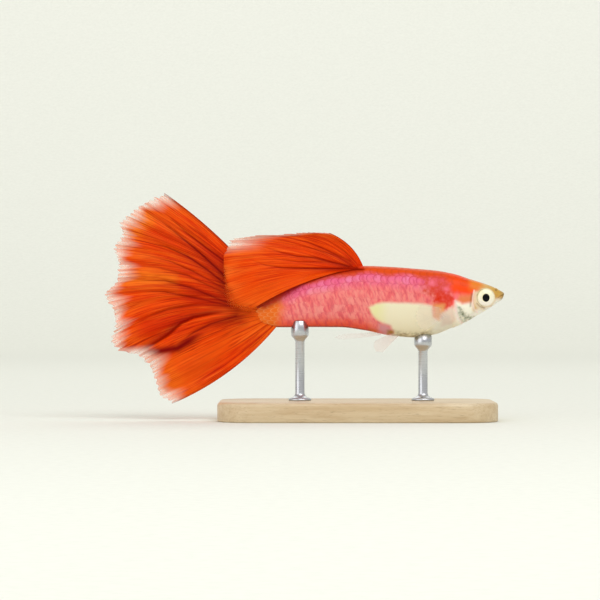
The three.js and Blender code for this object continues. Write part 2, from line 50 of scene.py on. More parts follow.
base_low, base_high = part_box("stand_base")
FLOOR = base_low.z
MIDDLE_HEIGHT = 15.6                        # of the fish's own middle line over the floor, mm
MIDDLE_LINE = FLOOR / MM + MIDDLE_HEIGHT


# Smooth lines and soft masks

def line_through(points):
    """A smooth line through (place, value) points that never overshoots them."""
    places, values = (np.array(column, float) for column in zip(*sorted(points)))
    rise = np.diff(values) / np.diff(places)
    slope = np.concatenate([rise[:1], np.zeros(len(rise) - 1), rise[-1:]])
    same = rise[:-1] * rise[1:] > 0
    total = np.where(same, rise[:-1] + rise[1:], 1)
    slope[1:-1] = np.where(same, 2 * rise[:-1] * rise[1:] / total, 0)

    def value(place):
        x = np.clip(place, places[0], places[-1])
        i = np.clip(np.searchsorted(places, x, side="right") - 1, 0, len(places) - 2)
        width = places[i + 1] - places[i]
        t = (x - places[i]) / width
        ends = values[i] * (1 + 2 * t) * (1 - t) ** 2 + values[i + 1] * t * t * (3 - 2 * t)
        return ends + width * (slope[i] * t * (1 - t) ** 2 - slope[i + 1] * t * t * (1 - t))

    return value


def smooth(t):
    t = np.clip(t, 0, 1)
    return t * t * (3 - 2 * t)


def ridge(distance, width):
    """A soft ridge, 1 on a line and falling away on both sides, from the distance to the line."""
    return np.exp(-((distance / width) ** 2))


def near_line(points, x, z):
    """Distance to a line of points, how far along it (0 to 1) and which side it is on."""
    best = np.full(np.shape(x), 1e9)
    along = np.zeros(np.shape(x))
    side = np.zeros(np.shape(x))
    lengths = [math.dist(a, b) for a, b in zip(points, points[1:])]
    passed = 0.0
    for (ax, az), (bx, bz), length in zip(points, points[1:], lengths):
        t = np.clip(((x - ax) * (bx - ax) + (z - az) * (bz - az)) / length**2, 0, 1)
        distance = np.hypot(x - ax - t * (bx - ax), z - az - t * (bz - az))
        closer = distance < best
        best = np.where(closer, distance, best)
        along = np.where(closer, (passed + t * length) / sum(lengths), along)
        cross = (bx - ax) * (z - az) - (bz - az) * (x - ax)
        side = np.where(closer, np.sign(cross), side)
        passed += length
    return best, along, side


def distance_to(line, x, z):
    return near_line(line, x, z)[0]


def inside(outline, soft, x, z):
    """1 inside an outline, falling to 0 over a soft edge either side of it."""
    distance = distance_to(outline + outline[:1], x, z)
    within = np.zeros(np.shape(x), bool)
    for (ax, az), (bx, bz) in zip(outline, outline[1:] + outline[:1]):
        crosses = (az > z) != (bz > z)
        height = np.where(bz == az, 1e-9, bz - az)
        within ^= crosses & (x < (bx - ax) * (z - az) / height + ax)
    return smooth(np.where(within, distance, -distance) / soft / 2 + 0.5)


# The body's shape, mm: place along the body, back, belly, half width

SNOUT_X = 26.13
STALK_END_X = -6.75
BODY_STATIONS = [
    (SNOUT_X, 0.92, 0.62, 0.34), (25.95, 1.06, 0.18, 0.72), (25.6, 1.27, -0.16, 0.96),
    (25.0, 1.58, -0.56, 1.22), (24.2, 1.93, -1.08, 1.52), (22.9, 2.36, -1.88, 1.84),
    (21.3, 2.86, -2.82, 2.1), (19.6, 3.4, -3.52, 2.28), (17.0, 3.86, -4.52, 2.42),
    (14.7, 4.06, -4.88, 2.45), (11.6, 4.3, -4.66, 2.34), (8.0, 4.44, -3.95, 2.1),
    (4.8, 4.02, -3.55, 1.84), (1.2, 3.34, -3.53, 1.52), (-1.8, 2.24, -3.56, 1.2),
    (-3.4, 1.5, -3.56, 0.98), (-4.5, 1.0, -3.36, 0.8), (-5.5, 0.42, -2.98, 0.6),
    (-6.2, -0.18, -2.52, 0.44), (-6.6, -0.72, -2.08, 0.3), (STALK_END_X, -1.2, -1.6, 0.16),
]
WIDEST_HEIGHT = 0.56
BACK_SQUARENESS = line_through([(-7, 2.1), (8, 2.2), (17, 2.5), (22, 3.0), (26.2, 2.6)])
BELLY_SQUARENESS = line_through([(-7, 2.1), (8, 2.1), (17, 2.2), (26.2, 2.2)])
back_line = line_through([(x, back) for x, back, _, _ in BODY_STATIONS])
belly_line = line_through([(x, belly) for x, _, belly, _ in BODY_STATIONS])
half_width_line = line_through([(x, half) for x, _, _, half in BODY_STATIONS])

EYE_X, EYE_Y, EYE_Z = 23.66, 1.25, 0.31
EYE_RADIUS = 1.15
MOUTH_LINE = [(26.2, 0.78), (25.75, 0.56), (25.3, 0.3)]
NOSTRIL = (25.05, 1.32)
CHEEK_LINE = [(22.15, 1.25), (21.95, 0.4), (21.95, -0.5), (22.2, -1.25), (22.7, -1.75)]
GILL_EDGE = [(20.1, 1.35), (19.9, 0.7), (19.68, -0.52), (19.8, -1.5), (20.1, -2.4), (20.6, -3.0)]
THROAT_FOLD = [(20.7, -2.5), (21.6, -2.1), (22.6, -1.55), (23.6, -1.1), (24.4, -0.75)]
EYE_CREASE = [(22.55, -0.45), (22.95, -0.85), (23.5, -1.05)]
CHEEK_SHADE = [(21.88, 0.8), (21.72, 0.0), (21.66, -0.8)]

FIRST_SCALE_X, LAST_SCALE_X = 21.8, -5.6
GILL_CLEARANCE = 0.75   # bare skin behind the gill cover
NAPE_FRONT_X, NAPE_LEAST_Z = 21.6, 1.5
SCALE_COLUMNS = 31
SCALE_ROWS = 20
SCALE_PITCH = 0.92      # from one scale to the next along the body
SCALE_SHIFT, SCALE_REACH = 0.12, 0.74   # shares of the pitch, rearward of the centre
SCALE_HALF_WIDTH = 0.6  # share of a row
SCALE_THICKNESS = 0.01
SCALE_LIFT = 0.029      # of the free rear edge over the front edge
SCALE_SINK = 0.021      # of the front edge under the body's outline
SCALE_SPOKES = 14
SCALE_RINGS = 4
SCALE_PATCH = 0.003     # how much of the map each scale takes
SCALE_EDGE_ANGLE = 40   # degrees, sharper edges are shaded as edges


def body_points(x, angle):
    """Points of the plain body for arrays of places and angles (0 is the left side, +Y)."""
    back, belly = back_line(x), belly_line(x)
    widest = belly + WIDEST_HEIGHT * (back - belly)
    across, up = np.cos(angle), np.sin(angle)
    power = 2 / np.where(up > 0, BACK_SQUARENESS(x), BELLY_SQUARENESS(x))
    reach = np.where(up > 0, back - widest, widest - belly)
    y = np.sign(across) * np.abs(across) ** power * half_width_line(x)
    z = widest + np.sign(up) * np.abs(up) ** power * reach
    return y, z


def body_half_width_at(x, z):
    """Half the body's width at a place and height, and nothing outside its outline."""
    back, belly = back_line(x), belly_line(x)
    widest = belly + WIDEST_HEIGHT * (back - belly)
    reach = np.where(z > widest, back - widest, widest - belly)
    share = np.clip(np.abs(z - widest) / reach, 0, 1)
    power = np.where(z > widest, BACK_SQUARENESS(x), BELLY_SQUARENESS(x))
    half = half_width_line(x) * (1 - share**power) ** (1 / power)
    return np.where((x > STALK_END_X) & (x < SNOUT_X), half, 0)


RING_PLACES = np.linspace(STALK_END_X, SNOUT_X, 240)
RING_SHARES = np.linspace(0, 1, 241)


def ring_angles(x):
    """Angles that part one ring of the body evenly, from the middle of the back and round."""
    angle = np.pi / 2 + np.linspace(0, 2 * np.pi, 361)
    y, z = body_points(np.full(361, x), angle)
    length = np.concatenate([[0], np.cumsum(np.hypot(np.diff(y), np.diff(z)))])
    return np.interp(RING_SHARES, length / length[-1], angle)


def outward_normals(points, along, around):
    """Unit normals of the body, from the directions along it and round it."""
    normal = np.cross(along, around)
    normal /= np.maximum(np.linalg.norm(normal, axis=-1, keepdims=True), 1e-9)
    x = points[..., 0]
    middle = np.stack([x, 0 * x, (back_line(x) + belly_line(x)) / 2], -1)
    away = np.sum(normal * (points - middle), axis=-1, keepdims=True)
    return normal * np.where(away < 0, -1, 1)


EVEN_ANGLES = np.array([ring_angles(x) for x in RING_PLACES])


def even_angle(x, share):
    """The angle at a share of the way round the body, for arrays of both."""
    turns = np.floor(share)
    i = (x - RING_PLACES[0]) / (RING_PLACES[1] - RING_PLACES[0])
    j = (share - turns) * (len(RING_SHARES) - 1)
    i0 = np.clip(np.floor(i), 0, len(RING_PLACES) - 2).astype(int)
    j0 = np.clip(np.floor(j), 0, len(RING_SHARES) - 2).astype(int)
    across, up = i - i0, j - j0
    lower = EVEN_ANGLES[i0, j0] * (1 - across) + EVEN_ANGLES[i0 + 1, j0] * across
    upper = EVEN_ANGLES[i0, j0 + 1] * (1 - across) + EVEN_ANGLES[i0 + 1, j0 + 1] * across
    return lower * (1 - up) + upper * up + 2 * np.pi * turns


# Making meshes

def new_mesh(name, points, quads, uvs, fields, material):
    """A mesh from arrays in mm over the middle line, with an OFBake map and point fields."""
    mesh = bpy.data.meshes.new(name)
    placed = np.array(points, float)
    placed[:, 2] += MIDDLE_LINE
    mesh.from_pydata((placed * MM).tolist(), [], quads.tolist())
    layer = mesh.uv_layers.new(name="OFBake")
    layer.data.foreach_set("uv", np.asarray(uvs, np.float32).ravel())
    for key, values in fields.items():
        attribute = mesh.attributes.new(key, "FLOAT", "POINT")
        attribute.data.foreach_set("value", np.asarray(values, np.float32).ravel())
    mesh.polygons.foreach_set("use_smooth", [True] * len(mesh.polygons))
    mesh.materials.append(material)
    mesh.update()
    piece = bpy.data.objects.new(name, mesh)
    bpy.context.collection.objects.link(piece)
    return piece


def close_rings(mesh, steps, rings, ends=((0.5, 0.5), (0.5, 0.5))):
    """Cap the first and the last ring, each with one face that lies at one place of the map."""
    work = bmesh.new()
    work.from_mesh(mesh)
    work.verts.ensure_lookup_table()
    layer = work.loops.layers.uv["OFBake"]
    for first, place in zip((0, (rings - 1) * steps), ends):
        face = work.faces.new([work.verts[first + k] for k in range(steps)])
        face.smooth = True
        for loop in face.loops:
            loop[layer].uv = place
    bmesh.ops.recalc_face_normals(work, faces=work.faces)
    work.to_mesh(mesh)
    work.free()


def ring_quads(count, steps):
    """Squares between rings of points: the ring and step of each and its four corners."""
    ring, step = np.meshgrid(np.arange(count - 1), np.arange(steps), indexing="ij")
    p = ring * steps + step
    q = ring * steps + (step + 1) % steps
    return ring, step, np.stack([p, q, q + steps, p + steps], -1).reshape(-1, 4)


def map_squares(u, v, du, dv):
    """Where the corners of a grid of squares lie on the map."""
    return np.stack([u, v, u + du, v, u + du, v + dv, u, v + dv], -1).reshape(-1, 4, 2)


def ringed_solid(name, rings, material, flatten=None):
    """A closed solid from a stack of rings of points; flatten turns points into map places."""
    steps, count = len(rings[0]), len(rings)
    ring, step, quads = ring_quads(count, steps)
    points = np.concatenate(rings)
    if flatten:
        uvs = flatten(points[quads])
    else:
        uvs = map_squares(step / steps, ring / (count - 1), 1 / steps, 1 / (count - 1))
    piece = new_mesh(name, points, quads, uvs, {}, material)
    close_rings(piece.data, steps, count)
    return piece


def hand_in(piece, slot, *nodes):
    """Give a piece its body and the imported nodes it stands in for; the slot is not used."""
    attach(piece, "root")
    if nodes:
        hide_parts(*nodes)
    return piece


# Colours and materials

def linear(red, green, blue):
    """A display colour of 0 to 255 as the linear colour that a shader takes."""
    parts = []
    for part in (red, green, blue):
        share = part / 255
        parts.append(share / 12.92 if share <= 0.04045 else ((share + 0.055) / 1.055) ** 2.4)
    return (*parts, 1.0)


def socket_name(key):
    return key.replace("_", " ").title().replace("Ior", "IOR")


class Nodes:
    """Short words for the usual nodes of one node tree."""

    def __init__(self, tree):
        self.tree = tree

    def node(self, kind, **settings):
        node = self.tree.nodes.new(kind)
        for key, value in settings.items():
            setattr(node, key, value)
        return node

    def put(self, socket, value):
        if isinstance(value, bpy.types.NodeSocket):
            self.tree.links.new(value, socket)
        else:
            socket.default_value = value

    def filled(self, kind, settings, values):
        """A node with its settings and named inputs filled in."""
        node = self.node(kind, **settings)
        for key, value in values.items():
            self.put(node.inputs[key], value)
        return node

    def field(self, name, strength=1.0):
        value = self.node("ShaderNodeAttribute", attribute_name=name).outputs["Fac"]
        return value if strength == 1.0 else self.times(value, strength)

    def math(self, operation, *values, clamp=False):
        node = self.node("ShaderNodeMath", operation=operation, use_clamp=clamp)
        for socket, value in zip(node.inputs, values):
            self.put(socket, value)
        return node.outputs[0]

    def mix(self, mask, a, b):
        settings = dict(data_type="RGBA", blend_type="MIX")
        return self.filled("ShaderNodeMix", settings, {"Factor": mask, "A": a, "B": b}).outputs["Result"]

    def place(self):
        return self.node("ShaderNodeTexCoord").outputs["Object"]

    def axes(self):
        """The place on the object, as its X, Y and Z."""
        return self.filled("ShaderNodeSeparateXYZ", {}, {0: self.place()}).outputs

    def noise(self, scale, detail=3.0, vector=None, roughness=0.55):
        values = {"Vector": vector or self.place(), "Scale": scale, "Detail": detail, "Roughness": roughness}
        return self.filled("ShaderNodeTexNoise", {}, values).outputs["Fac"]

    def span(self, value, low, high, to_low=0.0, to_high=1.0):
        values = {"Value": value, "From Min": low, "From Max": high, "To Min": to_low, "To Max": to_high}
        return self.filled("ShaderNodeMapRange", {}, values).outputs["Result"]

    def vector(self, x, y, z=0.0):
        return self.filled("ShaderNodeCombineXYZ", {}, {0: x, 1: y, 2: z}).outputs[0]

    def times(self, a, b, clamp=False):
        return self.math("MULTIPLY", a, b, clamp=clamp)


class Recipe(Nodes):
    """A node material around one Principled shader, with a colour built up in layers."""

    def __init__(self, name, **sockets):
        self.material = bpy.data.materials.new(name)
        self.material.use_nodes = True
        super().__init__(self.material.node_tree)
        self.shader = self.tree.nodes["Principled BSDF"]
        for key, value in sockets.items():
            self.shader.inputs[socket_name(key)].default_value = value

    def begin(self, mask, low, high):
        """Start with one display colour that turns to another as the mask rises."""
        self.color = self.mix(mask, linear(*low), linear(*high))

    def lay(self, mask, *color):
        """Lay a display colour over the layers so far, as strong as the mask."""
        self.color = self.mix(mask, self.color, linear(*color))

    def bump(self, height, strength, distance):
        values = {"Strength": strength, "Distance": distance, "Height": height}
        self.put(self.shader.inputs["Normal"], self.filled("ShaderNodeBump", {}, values).outputs["Normal"])

    def finish(self, roughness=None):
        self.put(self.shader.inputs["Base Color"], self.color)
        if roughness is not None:
            self.put(self.shader.inputs["Roughness"], roughness)
        return self.material


def marking_group():
    """One marking laid over another colour: its mask is broken up by noise along its edge."""
    group = bpy.data.node_groups.new("marking over skin", "ShaderNodeTree")
    inputs = {"Under": "Color", "Marking": "Color", "Mask": "Float", "Ragged": "Float", "Scale": "Float"}
    for label, kind in inputs.items():
        group.interface.new_socket(label, in_out="INPUT", socket_type=f"NodeSocket{kind}")
    group.interface.new_socket("Color", in_out="OUTPUT", socket_type="NodeSocketColor")
    start, end = group.nodes.new("NodeGroupInput"), group.nodes.new("NodeGroupOutput")
    g = Nodes(group)
    mask = start.outputs["Mask"]
    centred = g.math("SUBTRACT", g.noise(start.outputs["Scale"], roughness=0.5), 0.5)
    strength = g.times(centred, start.outputs["Ragged"])
    near_edge = g.times(g.math("PINGPONG", mask, 0.5), 4.0)
    share = g.math("MULTIPLY_ADD", strength, near_edge, mask, clamp=True)
    g.put(end.inputs["Color"], g.mix(share, start.outputs["Under"], start.outputs["Marking"]))
    return group


MARKING = marking_group()


# Markings of the body: how soft each region's edge is and its outline in the side view, mm

REGIONS = {
    "belly": (0.28, [
        (8.6, -0.95), (9.6, -0.5), (10.6, -0.3), (13.0, -0.36), (15.4, -0.5), (16.7, -0.75),
        (16.9, -2.1), (17.6, -3.0), (18.4, -4.0), (17.5, -6.0), (11.6, -6.0), (11.7, -4.1),
        (11.3, -3.35), (10.3, -2.95), (9.5, -2.4), (8.9, -1.7),
    ]),
    "belly_front": (0.5, [
        (16.9, -2.6), (18.2, -2.0), (19.6, -0.9), (20.4, -3.4), (18.0, -5.0), (16.6, -5.0),
    ]),
    "clear_zone": (0.35, [(17.9, -1.8), (19.3, -0.9), (19.9, -2.4), (19.2, -3.2), (17.9, -3.3)]),
    "flank_spot": (0.4, [
        (17.1, 1.1), (18.6, 1.0), (19.6, 0.3), (19.5, -0.6), (18.2, -1.2), (16.9, -0.8),
    ]),
    "front_wash": (0.6, [
        (15.4, 2.8), (17.0, 3.0), (19.0, 3.0), (19.8, 1.2), (18.6, 0.4), (16.8, 0.4), (15.6, 1.2),
    ]),
    "brow": (0.6, [(21.5, 3.0), (23.0, 2.6), (23.3, 1.8), (22.3, 1.2), (21.7, 1.4)]),
    "flecks": (0.25, [
        (19.9, -0.7), (20.6, -1.0), (21.3, -1.8), (22.3, -2.2), (21.6, -3.0), (20.5, -2.9),
        (20.0, -1.8),
    ]),
    "nape": (0.7, [
        (19.2, 4.2), (23.6, 3.4), (22.6, 1.0), (21.6, 0.5), (20.2, 0.7), (19.2, 1.1), (18.7, 2.5),
    ]),
    "peach": (0.4, [(16.9, -0.5), (18.3, -0.6), (18.3, -1.6), (17.6, -2.6), (16.9, -2.2)]),
    "cheek": (0.45, [(20.2, 0.65), (22.1, 0.6), (22.0, -0.4), (20.8, -0.6), (19.9, -0.1)]),
    "gill": (0.35, [
        (19.7, -0.1), (20.6, -0.5), (21.9, -0.3), (22.1, -1.6), (21.4, -3.6), (19.9, -3.8),
    ]),
    "snout": (0.6, [(26.6, 1.6), (24.9, 2.4), (23.5, 2.6), (24.6, 1.0), (24.9, 0.3), (26.6, 0.3)]),
    "throat": (0.35, [
        (26.4, 0.2), (24.9, 0.1), (24.4, -0.8), (22.9, -0.95), (22.0, -1.6), (20.9, -3.6),
        (24.5, -3.0),
    ]),
    "lilac": (0.4, [(9.9, -3.1), (11.2, -3.3), (11.6, -4.1), (10.8, -4.5), (9.7, -4.0)]),
    "vent": (0.3, [(8.6, -3.7), (9.6, -3.9), (9.8, -4.7), (8.2, -4.6)]),
    "gold": (0.2, [(10.9, -3.9), (11.7, -3.9), (11.7, -4.5), (10.9, -4.5)]),
    "stalk": (0.9, [(-7.0, 2.0), (-3.4, 2.2), (-2.6, -1.0), (-3.4, -4.0), (-7.0, -4.0)]),
}
PINK_SPOTS = [(18.6, 1.4), (19.75, 0.05), (16.7, 2.2)]
DORSAL_SHADOW = [
    (-4.99, -0.69), (-3.33, 0.10), (-1.83, 1.14), (-0.65, 1.90), (0.56, 2.64), (2.64, 3.25),
    (4.88, 3.75), (7.4, 4.1),
]


def body_fields(x, y, z):
    """Soft masks of the body's markings and of its painted shade at each point of the skin."""
    back, belly = back_line(x), belly_line(x)
    below_back = back - z
    over_belly = z - belly
    off_middle = np.abs(y)
    fields = {name: inside(outline, soft, x, z) for name, (soft, outline) in REGIONS.items()}
    fields["flecks"] *= 0.48
    fields.update({
        "back": smooth((1.5 + 0.15 * np.sin(x * 1.3) - below_back) / 0.9),
        "back_top": 0.45 * smooth((0.25 - below_back) / 0.25) * smooth((1.0 - off_middle) / 0.8)
                    * smooth((24 - x) / 3),
        "crown": 0.6 * smooth((0.4 - below_back) / 0.4) * smooth((x - 20.8) / 2)
                 * smooth((1.2 - off_middle) / 0.6),
        "upper": smooth((3.3 - below_back) / 2.2),
        "lower": smooth((1.9 - over_belly) / 1.8) * smooth((10.5 - x) / 2.5),
        "rear": smooth((-1.0 - x) / 4.5),
        "keel": smooth((0.28 - over_belly) / 0.26) * smooth((9.5 - x) / 1.5),
        "belly_tip": inside(REGIONS["belly"][1], 0.3, x, z) * smooth((11.4 - x) / 2.2),
        "belly_low": smooth((1.0 - over_belly) / 0.9) * smooth((x - 10.6) / 1.4) * smooth((22.6 - x) / 3),
        "pink_spots": sum(ridge(np.hypot(x - a, z - b), 0.42) for a, b in PINK_SPOTS),
        "head": smooth((x - 21.5 - 0.4 * z) / 1.1),
        "tip": smooth((x - 25.35) / 0.7),
    })
    # Painted shade in the mouth line, the crease under the eye, behind the cheek and in the nostril
    lines = np.zeros(np.shape(x))
    for line, width in ((MOUTH_LINE, 0.06), (EYE_CREASE, 0.12), (CHEEK_SHADE, 0.13)):
        lines = np.maximum(lines, ridge(distance_to(line, x, z), width))
    nostril = np.hypot(x - NOSTRIL[0], z - NOSTRIL[1])
    fields["painted_crease_shade"] = np.maximum(lines, 1.4 * ridge(nostril, 0.13))
    gill_line = ridge(distance_to(GILL_EDGE, x, z), 0.13) * smooth((-0.2 - z) / 0.5)
    fields["cheek_line"] = np.maximum(ridge(distance_to(CHEEK_LINE, x, z), 0.09), gill_line)
    around_eye = np.hypot(x - EYE_X, z - EYE_Z)
    behind_eye = smooth((23.9 - x) / 0.6) * smooth((x - 21.95) / 0.2)
    fields["orbit"] = smooth((2.0 - around_eye) / 0.5) * behind_eye * smooth((1.4 - z) / 0.5)
    distance, _, side = near_line(DORSAL_SHADOW, x, z)
    under = (side < 0) & (y < 0)
    fields["shadow"] = np.where(under, ridge(distance, 0.5), 1.0 * (side > 0) * (y < 0) * (x < 7.4))
    return fields


def head_relief(x, z):
    """How far the head's skin stands in or out, along its own normal, mm."""
    out = np.zeros(np.shape(x))
    eye = np.hypot(x - EYE_X, z - EYE_Z)
    out += 0.02 * ridge(eye - 1.36, 0.14)
    mouth, along, _ = near_line(MOUTH_LINE, x, z)
    out -= 0.1 * ridge(mouth, 0.05) * smooth(1.15 - along)
    out += 0.06 * ridge(mouth - 0.17, 0.08) * smooth(1.3 - along)
    nostril = np.hypot(x - NOSTRIL[0], z - NOSTRIL[1])
    out -= 0.16 * ridge(nostril, 0.1)
    out += 0.04 * ridge(nostril - 0.2, 0.06)
    gill, _, side = near_line(GILL_EDGE, x, z)
    behind = np.where(side > 0, 1.0, -1.0)
    plate = smooth((2.2 - gill) / 1.2)
    low = 0.35 + 0.65 * smooth((0.4 - z) / 0.8)
    out += 0.07 * low * plate * (behind < 0) * smooth((x - 19.4) / 0.1)
    out -= 0.04 * low * ridge(gill, 0.08) * (behind > 0)
    folds = ((CHEEK_LINE, 0.05, 0.12), (THROAT_FOLD, -0.06, 0.09), (EYE_CREASE, -0.05, 0.1))
    for line, height, width in folds:
        out += height * ridge(distance_to(line, x, z), width)
    return out


SKIN_INSET = 0.02       # under the body's outline
SOCKET_RADIUS, SOCKET_FLOOR_Y = 1.19, 1.2
RINGS = 416
SIDES = 224
HEAD_RINGS = 150
HEAD_REAR_X = 18.6


def skin_places():
    """Ring places from snout to stalk end: close together on the head and at both tips."""
    head = np.linspace(0, 1, HEAD_RINGS, endpoint=False)
    head_x = SNOUT_X - (SNOUT_X - HEAD_REAR_X) * (0.55 * head + 0.45 * head**2)
    body = np.linspace(0, 1, RINGS - HEAD_RINGS)
    body_x = HEAD_REAR_X + (STALK_END_X - HEAD_REAR_X) * (1 - (1 - body) ** 1.12)
    return np.concatenate([head_x, body_x])


def make_skin(material):
    x, turn = np.meshgrid(skin_places(), np.arange(SIDES) / SIDES, indexing="ij")
    y, z = body_points(x, 2 * np.pi * turn)
    points = np.stack([x, y, z], -1)
    around = np.roll(points, -1, axis=1) - np.roll(points, 1, axis=1)
    normal = outward_normals(points, np.gradient(points, axis=0), around)
    relief = head_relief(x, z)
    eye = np.hypot(x - EYE_X, z - EYE_Z)
    ends = smooth((SNOUT_X - x) / 0.25) * smooth((x - STALK_END_X) / 0.25)
    points += normal * (relief * ends - SKIN_INSET)[..., None]
    socket = smooth((SOCKET_RADIUS - eye) / 0.08)
    points[..., 1] -= np.sign(y) * socket * np.clip(np.abs(points[..., 1]) - SOCKET_FLOOR_Y, 0, None)
    fields = body_fields(x, y, z)
    fields.update({"rim": 0 * x, "tone": 0 * x + 0.5, "socket": smooth((1.3 - eye) / 0.1)})
    ring, side, quads = ring_quads(RINGS, SIDES)
    uvs = map_squares(ring / (RINGS - 1), side / SIDES, 1 / (RINGS - 1), 1 / SIDES)
    piece = new_mesh("guppy_skin", points.reshape(-1, 3), quads[:, [0, 3, 2, 1]], uvs, fields, material)
    close_rings(piece.data, SIDES, RINGS, ((0.0, 0.5), (1.0, 0.5)))
    return piece


def skin_surface(x, share):
    """Points of the skin at places along the body and shares of the way round it."""
    y, z = body_points(x, even_angle(x, share))
    return np.stack([x, y, z], -1)


def scale_centres():
    """Where the scales sit: places along the body and shares of the way round it."""
    columns, rows = np.meshgrid(np.arange(SCALE_COLUMNS), np.arange(SCALE_ROWS), indexing="ij")
    x = (FIRST_SCALE_X - SCALE_PITCH * (columns + 0.5 * (rows % 2))).ravel()
    share = ((rows + 0.5) / SCALE_ROWS).ravel()
    height = skin_surface(x, share)[:, 2]
    gill_x = line_through([(edge_z, edge_x) for edge_x, edge_z in GILL_EDGE])(height)
    on_nape = (height > NAPE_LEAST_Z) & (x < NAPE_FRONT_X)
    kept = ((x < gill_x - GILL_CLEARANCE) | on_nape) & (x > LAST_SCALE_X)
    return x[kept], share[kept]


def scale_plate():
    """One plate, 1 from centre to edge: points rearward and across, which lie under, triangles."""
    spoke = np.linspace(0, 2 * np.pi, SCALE_SPOKES, endpoint=False)
    reach = np.arange(1, SCALE_RINGS + 1) / SCALE_RINGS
    r, turn = np.meshgrid(reach, spoke, indexing="ij")
    rearward = np.concatenate([[0], (r * np.cos(turn)).ravel(), np.cos(spoke), [0]])
    across = np.concatenate([[0], (r * np.sin(turn)).ravel(), np.sin(spoke), [0]])
    under = np.concatenate([[0], np.zeros(r.size), np.ones(SCALE_SPOKES), [1]])
    k = np.arange(SCALE_SPOKES)
    after = (k + 1) % SCALE_SPOKES
    last = 1 + SCALE_RINGS * SCALE_SPOKES
    triangles = [np.stack([0 * k, 1 + k, 1 + after], -1),
                 np.stack([0 * k + last + SCALE_SPOKES, last + after, last + k], -1)]
    for ring in range(SCALE_RINGS):
        a, b = 1 + ring * SCALE_SPOKES + k, 1 + ring * SCALE_SPOKES + after
        triangles.append(np.stack([a, a + SCALE_SPOKES, b + SCALE_SPOKES], -1))
        triangles.append(np.stack([a, b + SCALE_SPOKES, b], -1))
    return rearward, across, under, np.concatenate(triangles)


def make_scales(material):
    """Overlapping round scales as thin closed plates, free along their rear edges."""
    centre_x, centre_share = scale_centres()
    tones = np.random.default_rng(5).random(len(centre_x))
    rearward, across, under, triangles = scale_plate()
    x = centre_x[:, None] - (SCALE_SHIFT + SCALE_REACH * rearward) * SCALE_PITCH
    x = np.clip(x, STALK_END_X + 0.2, None)
    share = centre_share[:, None] + SCALE_HALF_WIDTH * across / SCALE_ROWS
    points = skin_surface(x, share)
    small = 1e-3
    forward = skin_surface(x + small, share) - points
    around = skin_surface(x, share + small) - points
    above_belly = (points[..., 2] - belly_line(x)) / (back_line(x) - belly_line(x))
    keen = 0.4 + 0.6 * smooth((above_belly - 0.4) / 0.25)
    lift = -SCALE_SINK + SCALE_LIFT * (rearward + 1) / 2 * keen - SCALE_THICKNESS * under
    points = points + outward_normals(points, forward, around) * lift[..., None]

    fields = body_fields(x, points[..., 1], points[..., 2])
    everywhere = np.ones_like(x)
    rim = smooth((np.hypot(rearward, across) - 0.66) / 0.3) * smooth(rearward + 0.5)
    fields.update({"rim": rim * everywhere, "tone": tones[:, None] * everywhere, "socket": 0 * x})
    corners = triangles[None] + len(rearward) * np.arange(len(centre_x))[:, None, None]
    along = np.interp(-centre_x, -skin_places(), np.arange(RINGS) / (RINGS - 1))
    patch = np.stack([along, np.mod(even_angle(centre_x, centre_share) / (2 * np.pi), 1)], -1)
    spread = SCALE_PATCH / 2 * np.stack([rearward, across], -1)
    uvs = patch[:, None, None] + spread[triangles][None]
    piece = new_mesh("guppy_scales", points.reshape(-1, 3), corners.reshape(-1, 3), uvs, fields, material)
    piece.data.set_sharp_from_angle(angle=math.radians(SCALE_EDGE_ANGLE))
    return piece


# From the lowest layer up: field, colour, how ragged the edge is, how fine that is, strength
TOP_MARKINGS = [
    ("belly", (250, 238, 202), 0.3),
    ("belly_tip", (246, 238, 164), 0.3, 1100.0, 0.75),
    ("belly_low", (178, 160, 124), 1.5, 2000.0, 0.75),
    ("belly_front", (244, 236, 214), 0.4),
    ("peach", (244, 166, 98), 0.5),
    ("clear_zone", (234, 210, 190), 0.7, 1600.0),
    ("lilac", (228, 150, 156), 0.9),
    ("vent", (226, 104, 54), 0.4),
    ("gold", (172, 122, 50), 0.9, 1800.0, 0.85),
    ("keel", (166, 58, 30), 0.3),
    ("head", (216, 168, 100), 0.4),
    ("brow", (230, 128, 38), 0.5),
    ("crown", (178, 134, 62), 0.8, 1600.0),
    ("cheek", (230, 130, 78), 0.6),
    ("gill", (250, 246, 228), 0.5),
    ("snout", (202, 158, 74), 0.3),
    ("throat", (248, 242, 230), 0.4),
    ("tip", (166, 136, 84), 0.4, 1100.0, 0.75),
    ("flecks", (126, 132, 106), 1.3, 1900.0),
    ("orbit", (238, 220, 188), 0.3, 1600.0, 0.75),
    ("cheek_line", (250, 230, 220), 0.2, 1100.0, 0.75),
    ("back_top", (176, 104, 24), 0.9, 1300.0),
]


